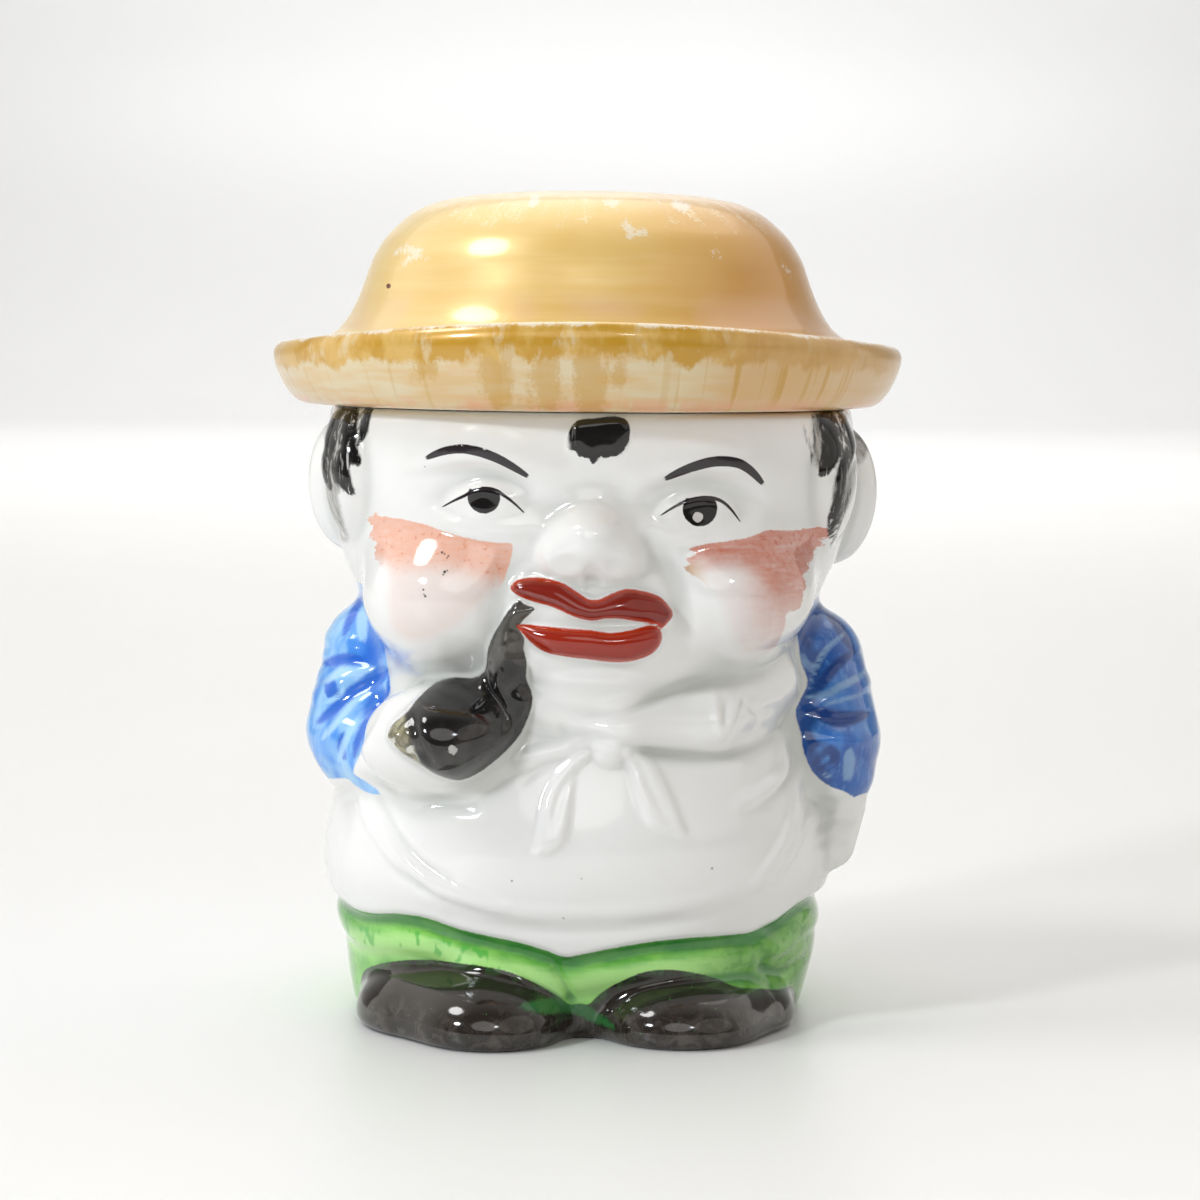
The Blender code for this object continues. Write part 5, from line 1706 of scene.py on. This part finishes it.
@dataclass
class Pot:
    """The cast figure with its painted skin, hollow inside, standing on its foot ring."""

    pose: Pose = field(default_factory=Pose)
    carving: Carving = field(default_factory=Carving)
    painting: Painting = field(default_factory=Painting)
    columns: int = 360
    skin_rows: int = 220
    crowding: float = 0.48
    wall: float = 4.0
    floor: float = 5.5
    foot_width: float = 7.0
    foot_rounding: float = 1.6
    foot_recess: float = 1.0
    rim_width: float = 4.2
    rim_rounding: float = 1.2
    mouth_depth: float = 9.0

    def mouth(self) -> float:
        """Radius of the mouth: the head's half width at the rim less the rim."""
        return self.pose.core[-1][1] - self.rim_width

    def ear_distance(self, p: Places) -> Grid:
        """Distance of points outside the ears."""
        return np.minimum(self.pose.ears[0].distance(p), self.pose.ears[1].distance(p))

    def _skin_levels(self) -> tuple[Grid, Grid]:
        """Heights of the skin's rings, and how far the rounded foot and rim draw each one in.

        Returns:
            The heights and the draws, by ring.
        """
        turns = np.linspace(0.0, math.pi / 2.0, 5, endpoint=False)
        low = self.foot_rounding * (1.0 - np.cos(turns))
        high = 100.0 - self.rim_rounding * (1.0 - np.cos(turns[::-1]))
        middle = np.linspace(self.foot_rounding, 100.0 - self.rim_rounding, self.skin_rows)
        draws = [self.foot_rounding * (1.0 - np.sin(turns)), np.zeros(self.skin_rows)]
        draws.append(self.rim_rounding * (1.0 - np.sin(turns[::-1])))
        return np.concatenate([low, middle, high]), np.concatenate(draws)

    def build(self) -> bpy.types.Object:
        """Lays out the skin, the rim, the cavity and the foot as one sheet and closes it.

        Returns:
            The dressed pot.
        """
        angles = front_crowded(self.columns, self.crowding)
        levels, draws = self._skin_levels()
        turn, level = np.meshgrid(angles, levels)
        clay = self.pose.radius(turn, level, self.pose.skin_forms())
        x, y = clay * np.cos(turn), clay * np.sin(turn)
        ears = self.ear_distance((x, y, level))
        hair = self.painting.hair(x, y, level, ears)
        marks = marks_inside(self.painting.lock_black, x, level)
        skin = softened(clay + self.carving.rise(clay, turn, level, hair, marks)) - draws[:, None]

        below_radii, below_levels = self._underside(skin[0])
        above_radii, above_levels = self._inside(angles)
        radii = np.concatenate([below_radii, skin, above_radii])
        heights = np.concatenate([below_levels, levels, above_levels])
        first, last = len(below_levels), len(below_levels) + len(levels)

        sheet = ClaySheet("pot", self.columns, len(heights))
        turn, level = np.meshgrid(angles, heights)
        x, y = radii * np.cos(turn), radii * np.sin(turn)
        ears = self.ear_distance((x, y, level))
        for name, value in self.painting.layers(x, y, level, ears, self.carving).items():
            sheet.paint(name, value)
        flow = np.stack([self.carving.locks(turn, level), level, np.zeros_like(level)], -1)
        sheet.paint("locks", flow)
        # Depths of fine creases and broad hollows, by which the glaze lays its painted shade.
        sheet.paint("crease", self._creases(radii, first, last, 14))
        sheet.paint("hollow", self._creases(radii, first, last, 150))
        sheet.finish_rows(0, first, Finish.FOOT.value)
        sheet.finish_rows(first, last, Finish.SKIN.value)
        sheet.finish_rows(last, len(heights), Finish.INSIDE.value)
        pot = sheet.wrap(turn, radii * UNIT, level * UNIT)
        for finish in (PaintedGlaze(), PlainGlaze(), BareClay()):
            pot.data.materials.append(finish.make())
        return pot

    def _creases(self, radii: Grid, first: int, last: int, rounds: int) -> Grid:
        """How far each place of the skin lies below the skin round it.

        Args:
            radii: Radii of the whole sheet.
            first: The skin's first ring.
            last: The ring after its last.
            rounds: How often the sheet is softened.

        Returns:
            Depths, and 0 off the skin.
        """
        wide = radii.copy()
        for _ in range(rounds):
            wide = softened(wide)
        out = np.clip(wide - radii, 0.0, 3.0)
        out[:first] = 0.0
        out[last:] = 0.0
        return out

    def _underside(self, foot: Grid) -> tuple[Grid, Grid]:
        """Rings from the middle of the recess to the foot ring's outer edge.

        Args:
            foot: Radii of the skin's lowest ring.

        Returns:
            Radii and heights, by ring.
        """
        inner = foot - self.foot_width
        recess = self.foot_recess
        rings = [(0.0 * inner, recess), (0.3 * inner, recess), (0.7 * inner, recess), (inner - recess, recess)]
        rings += [(inner - 0.4 * recess, 0.7 * recess), (inner - 0.1 * recess, 0.2 * recess)]
        rings += [(inner + 0.2 * recess, 0.0), (foot - 0.2 * recess, 0.0)]
        return np.array([r for r, _ in rings]), np.array([z for _, z in rings])

    def _inside(self, angles: Grid) -> tuple[Grid, Grid]:
        """Rings from the rim's outer edge over the rim, down the mouth and the cavity to its middle.

        Args:
            angles: Angles of the columns.

        Returns:
            Radii and heights, by ring.
        """
        mouth, rounding, throat = self.mouth(), self.rim_rounding, 100.0 - self.mouth_depth
        radii, levels = [], []
        for share in (0.0, 0.35, 0.7, 1.0):
            bend = share * math.pi / 2.0
            radii.append(np.full(angles.shape, mouth + rounding * (1.0 - math.sin(bend))))
            levels.append(100.0 - rounding * (1.0 - math.cos(bend)))
        for level in (97.0, 94.0, throat):
            radii.append(np.full(angles.shape, mouth))
            levels.append(level)
        depths = np.linspace(throat - self.wall, self.floor + self.wall, 20)
        turn, level = np.meshgrid(angles, depths)
        cavity = self.pose.radius(turn, level, self.pose.hollow_forms(), inset=self.wall)
        radii += list(cavity)
        levels += list(depths)
        for share in (0.35, 0.7, 1.0):
            bend = share * math.pi / 2.0
            radii.append(cavity[-1] - self.wall * (1.0 - math.cos(bend)))
            levels.append(self.floor + self.wall * (1.0 - math.sin(bend)))
        for share in (0.6, 0.25, 0.0):
            radii.append(share * (cavity[-1] - self.wall))
            levels.append(self.floor)
        return np.array(radii), np.array(levels)


@dataclass
class Hat:
    """The lift-off straw hat: a hollow crown, a thick wavy brim, and a collar that sits in the mouth."""

    mouth: float
    seat_gap: float = 0.3
    collar_clearance: float = 0.6
    collar_depth: float = 6.0
    wall: float = 3.6
    wave: float = 3.9
    brim_start: float = 41.0
    brim_lip: float = 50.4
    brim_foot: float = 47.6
    columns: int = 256
    profile: tuple[tuple[float, float], ...] = (
        (0.0, 135.3), (6.0, 135.26), (12.0, 135.08), (18.2, 134.6), (22.4, 134.0), (25.3, 133.3), (28.2, 132.1),
        (30.3, 130.7), (32.2, 129.0), (33.6, 127.5), (34.8, 125.7), (35.8, 123.8), (36.6, 121.6), (37.3, 119.6),
        (38.1, 117.6), (39.0, 115.7), (40.1, 113.9), (41.6, 112.2), (43.6, 110.9), (45.8, 110.25), (48.0, 110.15),
        (49.6, 110.25), (50.6, 110.2), (51.3, 109.8), (51.8, 109.1), (52.0, 108.3), (51.9, 107.2), (51.5, 105.8),
        (50.9, 104.4), (50.1, 102.9), (49.1, 101.6), (48.2, 100.8), (47.2, 100.35), (46.0, 100.3),
    )
    scratches: tuple[Mark, ...] = (
        Mark(((-9.2, 134.2), (-8.4, 133.2), (-8.8, 131.6)), 0.9),
        Mark(((2.2, 133.4), (3.6, 132.8), (5.6, 133.2)), 0.8),
        Mark(((5.4, 130.4), (6.5, 128.4), (6.2, 127.0)), 0.9),
        Mark(((7.2, 127.6), (8.6, 128.2), (9.2, 127.4)), 0.6),
        Mark(((13.0, 133.0), (14.6, 132.4), (16.4, 132.8)), 0.9),
        Mark(((-31.4, 124.4), (-29.6, 125.4), (-26.0, 125.0)), 0.8),
        Mark(((-29.6, 122.4), (-28.2, 124.2), (-25.4, 123.6)), 0.6),
        Mark(((-27.6, 132.2), (-25.0, 133.0), (-20.4, 133.6)), 0.9),
        Mark(((-30.4, 130.2), (-28.4, 131.6), (-26.0, 132.6)), 0.9),
        Mark(((26.0, 131.4), (27.4, 130.2), (29.4, 128.6)), 0.6),
        Mark(((31.0, 123.6), (32.4, 122.2), (33.4, 120.6)), 0.5),
        Mark(((19.4, 125.4), (20.6, 124.6), (22.0, 125.0)), 0.4),
    )
    runs: tuple[Mark, ...] = (
        Mark(((-14.0, 110.4), (-13.8, 105.6), (-13.6, 102.8)), 2.6, blunt=0.8),
        Mark(((-6.4, 110.4), (-6.0, 105.0), (-6.0, 101.8)), 2.4, blunt=0.9),
        Mark(((0.2, 110.4), (0.8, 105.0), (0.8, 101.6)), 2.5, blunt=0.8),
        Mark(((4.6, 110.4), (5.0, 106.6), (5.2, 104.6)), 1.2, blunt=0.6),
        Mark(((-24.6, 110.4), (-24.8, 107.4), (-25.0, 106.2)), 2.2, blunt=0.7),
    )

    def _rings(self) -> tuple[Grid, Grid, int, int]:
        """The rings from the crown over the brim and down the collar to the inside.

        Returns:
            Radii, heights, the seat's first ring and the inside's.
        """
        line = smooth_line(self.profile, closed=False, steps=3)
        seat = 100.0 + self.seat_gap
        collar = self.mouth - self.collar_clearance
        bore, end = collar - self.wall, seat - self.collar_depth
        edge = 0.2 * self.wall
        below = [(43.0, seat), (collar + 0.5, seat), (collar, seat - 0.5), (collar, end + 2.0), (collar, end + edge)]
        below += [(collar - 0.3 * edge, end + 0.3 * edge), (collar - edge, end), (bore + edge, end)]
        below += [(bore + 0.3 * edge, end + 0.3 * edge), (bore, end + edge)]
        hollow = [(bore, end + 3.0), (bore, 104.0), (bore, 108.0)]
        hollow += [(bore + 0.4, 111.5), (bore + 0.6, 114.0), (34.6, 117.0), (33.2, 120.6), (32.0, 123.6)]
        hollow += [(30.2, 126.4), (27.6, 128.6), (24.0, 130.2), (18.0, 131.2), (10.0, 131.65), (0.0, 131.7)]
        rings = np.array([*map(tuple, line), *below, *smooth_line(hollow, closed=False, steps=3)])
        return rings[:, 0], rings[:, 1], len(line), len(line) + len(below)

    def build(self) -> bpy.types.Object:
        """Turns the profile round the axis and lets the brim wave.

        Returns:
            The dressed hat.
        """
        radius, height, seat, inside = self._rings()
        angles = np.linspace(0.0, 2.0 * math.pi, self.columns + 1)[::-1]
        turn, radii = np.meshgrid(angles, radius)
        _, heights = np.meshgrid(angles, height)
        spread = ease(radii, self.brim_start, self.brim_lip - 3.0)
        climb = np.clip((heights - 100.0 - self.seat_gap) / 9.6, 0.0, 1.0)
        outside = (np.arange(len(radius)) < seat)[:, None]
        heights = heights + self.wave * np.sin(turn) ** 2 * spread * climb * outside
        hand = 0.10 * np.sin(3.0 * turn + 0.7) + 0.08 * np.sin(5.0 * turn + 2.1)
        crown = ease(radii, 4.0, 30.0) * (1.0 - spread) * outside
        radii = radii - (hand + 0.18) * crown

        sheet = ClaySheet("hat", self.columns, len(radius))
        on_wall = (heights < 110.0 + self.wave) & (radii > self.brim_foot - 0.5) & outside
        rows = np.arange(len(radius))[:, None] * np.ones_like(radii)
        lip = int(np.argmax(radius > self.brim_lip))
        wall = ease(rows, lip - 1.0, lip + 2.0) * on_wall
        share = np.clip((heights - 100.3) / (9.9 + self.wave * np.sin(turn) ** 2), 0.0, 1.0)
        sheet.paint("brim", np.stack([wall, share, turn], -1))
        flow = np.stack([np.cos(turn), np.sin(turn), (heights + 0.55 * radii) / 30.0], -1)
        sheet.paint("brim_flow", flow)
        across, back = radii * np.cos(turn), radii * np.sin(turn)
        behind = ease(back, -16.0, -8.0) * 9.0
        sheet.paint("scratches", marks_inside(self.scratches, across, heights) - behind)
        sheet.paint("runs", marks_inside(self.runs, across, heights) - behind)
        sheet.paint("crown_wear", bell((rows - np.argmax(radius > 26.0)) / 14.0) * outside)
        sheet.paint("crown_foot", bell((heights - 113.6) / 6.0) * (radii < self.brim_start) * outside)
        # Where the brim's upper edge gets its pale band, partly wear and partly a painted highlight.
        sheet.paint("lip_wear", bell((rows - lip - 1.0) / 4.6) * outside)
        sheet.finish_rows(0, seat, Finish.SKIN.value)
        sheet.finish_rows(seat, inside, Finish.FOOT.value)
        sheet.finish_rows(inside, len(radius), Finish.INSIDE.value)
        hat = sheet.wrap(turn, radii * UNIT, heights * UNIT)
        for finish in (GoldLustre(), PlainGlaze("hat_inside_glaze"), BareClay("hat_seat_clay")):
            hat.data.materials.append(finish.make())
        return hat


@dataclass(frozen=True)
class Panel:
    """A soft oval light: its place, what it faces, its width, power and colour."""

    name: str
    place: Place
    target: Place
    width: float
    power: float
    colour: Colour = (1.0, 1.0, 1.0)

    def hang(self) -> None:
        """Adds the light to the scene."""
        light = bpy.data.lights.new(self.name, "AREA")
        light.shape = "ELLIPSE"
        light.size, light.size_y = self.width, self.width * 0.8
        light.energy, light.color = self.power, self.colour
        lamp = bpy.data.objects.new(self.name, light)
        bpy.context.scene.collection.objects.link(lamp)
        aim = Vector(self.target) - Vector(self.place)
        lamp.matrix_world = Matrix.Translation(self.place) @ aim.to_track_quat("-Z", "Y").to_matrix().to_4x4()


@dataclass
class Studio:
    """A pale floor, soft lights and the camera."""

    focal_length: float = 104.4
    camera_place: Place = (0.0024, -0.580, 0.117)
    camera_down: float = 4.88
    camera_roll: float = 0.5
    floor_width: float = 9.0
    floor_length: float = 6.0
    floor_front: float = -0.6
    flat_length: float = 3.4
    bend_length: float = 0.8
    bend_radius: float = 0.5
    floor_white: Colour = (0.83, 0.83, 0.83)
    floor_cloud: Colour = (0.79, 0.79, 0.785)
    room_colour: Colour = (1.0, 0.97, 0.92)
    room_fade: tuple[tuple[str, float], ...] = (
        ("From Min", -0.55), ("From Max", 0.35), ("To Min", 0.12), ("To Max", 0.97)
    )
    panels: tuple[Panel, ...] = (
        Panel("key_light", (-1.15, -1.03, 0.80), (0.0, 0.0, 0.08), 0.24, 12.0, (0.90, 0.95, 1.0)),
        Panel("side_window", (-1.04, -0.30, 1.42), (0.0, 0.0, 0.09), 0.60, 8.5),
        Panel("front_light", (-0.10, -1.35, 0.72), (0.0, 0.0, 0.07), 1.00, 3.0, (1.0, 0.98, 0.95)),
        Panel("fill_light", (1.10, -0.95, 0.70), (0.0, 0.0, 0.06), 1.70, 3.2, (1.0, 0.94, 0.86)),
        Panel("top_light", (0.10, 0.90, 1.70), (0.0, 0.0, 0.06), 2.20, 7.0, (1.0, 0.98, 0.94)),
        Panel("small_window", (0.34, -1.25, 0.70), (0.0, 0.0, 0.08), 0.14, 0.8, (0.92, 0.96, 1.0)),
        Panel("wall_light", (0.0, 1.80, 1.70), (0.0, 3.3, 0.25), 1.60, 31.0),
    )

    def floor(self) -> bpy.types.Object:
        """A wide pale floor that rises softly into a wall far behind.

        Returns:
            The floor.
        """
        bpy.ops.object.select_all(action="DESELECT")
        bpy.ops.mesh.primitive_grid_add(x_subdivisions=2, y_subdivisions=60, size=1.0, calc_uvs=False)
        floor = bpy.context.object
        floor.name = "floor"
        for vertex in floor.data.vertices:
            along = (vertex.co.y + 0.5) * self.floor_length
            out = max(along - self.flat_length, 0.0)
            bend = min(out / self.bend_length, 1.0) * math.pi / 2.0
            y = self.floor_front + min(along, self.flat_length) + self.bend_radius * math.sin(bend)
            z = self.bend_radius * (1.0 - math.cos(bend)) + max(out - self.bend_length, 0.0)
            vertex.co = Vector((vertex.co.x * self.floor_width, y, z))
        bpy.ops.object.shade_smooth()
        m = Mixing("pale_floor")
        cloud = m.cloudy(3.0, 3.0, 0.5)
        colour = m.blend(cloud, self.floor_white, self.floor_cloud)
        floor.data.materials.append(m.dress(Base_Color=colour, Roughness=0.34 + 0.06 * cloud))
        floor.select_set(False)
        return floor

    def lights(self) -> None:
        """Small bright windows on the left, soft fill round the front, and a room that darkens forwards."""
        for panel in self.panels:
            panel.hang()
        world = bpy.data.worlds.new("room")
        world.use_nodes = True
        nodes, links = world.node_tree.nodes, world.node_tree.links
        nodes["Background"].inputs["Color"].default_value = (*self.room_colour, 1.0)
        place, parts = nodes.new("ShaderNodeTexCoord"), nodes.new("ShaderNodeSeparateXYZ")
        links.new(place.outputs["Generated"], parts.inputs[0])
        fade = nodes.new("ShaderNodeMapRange")
        fade.interpolation_type = "SMOOTHSTEP"
        links.new(parts.outputs[1], fade.inputs["Value"])
        for name, value in self.room_fade:
            fade.inputs[name].default_value = value
        links.new(fade.outputs[0], nodes["Background"].inputs["Strength"])
        bpy.context.scene.world = world

    def camera(self) -> None:
        """The camera at the photograph's angle and distance."""
        data = bpy.data.cameras.new("camera")
        data.lens, data.sensor_width = self.focal_length, 36.0
        data.clip_start, data.clip_end = 0.01, 30.0
        camera = bpy.data.objects.new("camera", data)
        bpy.context.scene.collection.objects.link(camera)
        tilt = Matrix.Rotation(math.radians(90.0 - self.camera_down), 4, "X")
        roll = Matrix.Rotation(math.radians(self.camera_roll), 4, "Z")
        camera.matrix_world = Matrix.Translation(self.camera_place) @ tilt @ roll
        bpy.context.scene.camera = camera
        bpy.context.scene.view_settings.view_transform = "Standard"
        bpy.context.scene.view_settings.look = "None"


def report(piece: bpy.types.Object, box: Sequence[Sequence[float]] = ()) -> None:
    """Logs a piece's name and faces, and the size of the solid that it replaces.

    Args:
        piece: The finished piece.
        box: The lowest and highest corner of its solid, where it has one.
    """
    log.info("%s: %d points, %d faces", piece.name, len(piece.data.vertices), len(piece.data.polygons))
    if box:
        log.info("its solid, in mm: %s", [round(1000.0 * (high - low), 1) for low, high in zip(*box)])


def main() -> None:
    """Builds the pot, the hat and the studio, and keeps the two sizes."""
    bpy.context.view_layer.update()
    bpy.ops.object.select_all(action="DESELECT")
    pot_maker = Pot()
    pot = pot_maker.build()
    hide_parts("jar_body")
    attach(pot, "root")
    report(pot, POT_BOX)
    hat = Hat(mouth=pot_maker.mouth()).build()
    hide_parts("hat_lid")
    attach(hat, "root")
    report(hat, HAT_BOX)
    studio = Studio()
    report(studio.floor())
    studio.lights()
    studio.camera()


if __name__ == "__main__":
    main()
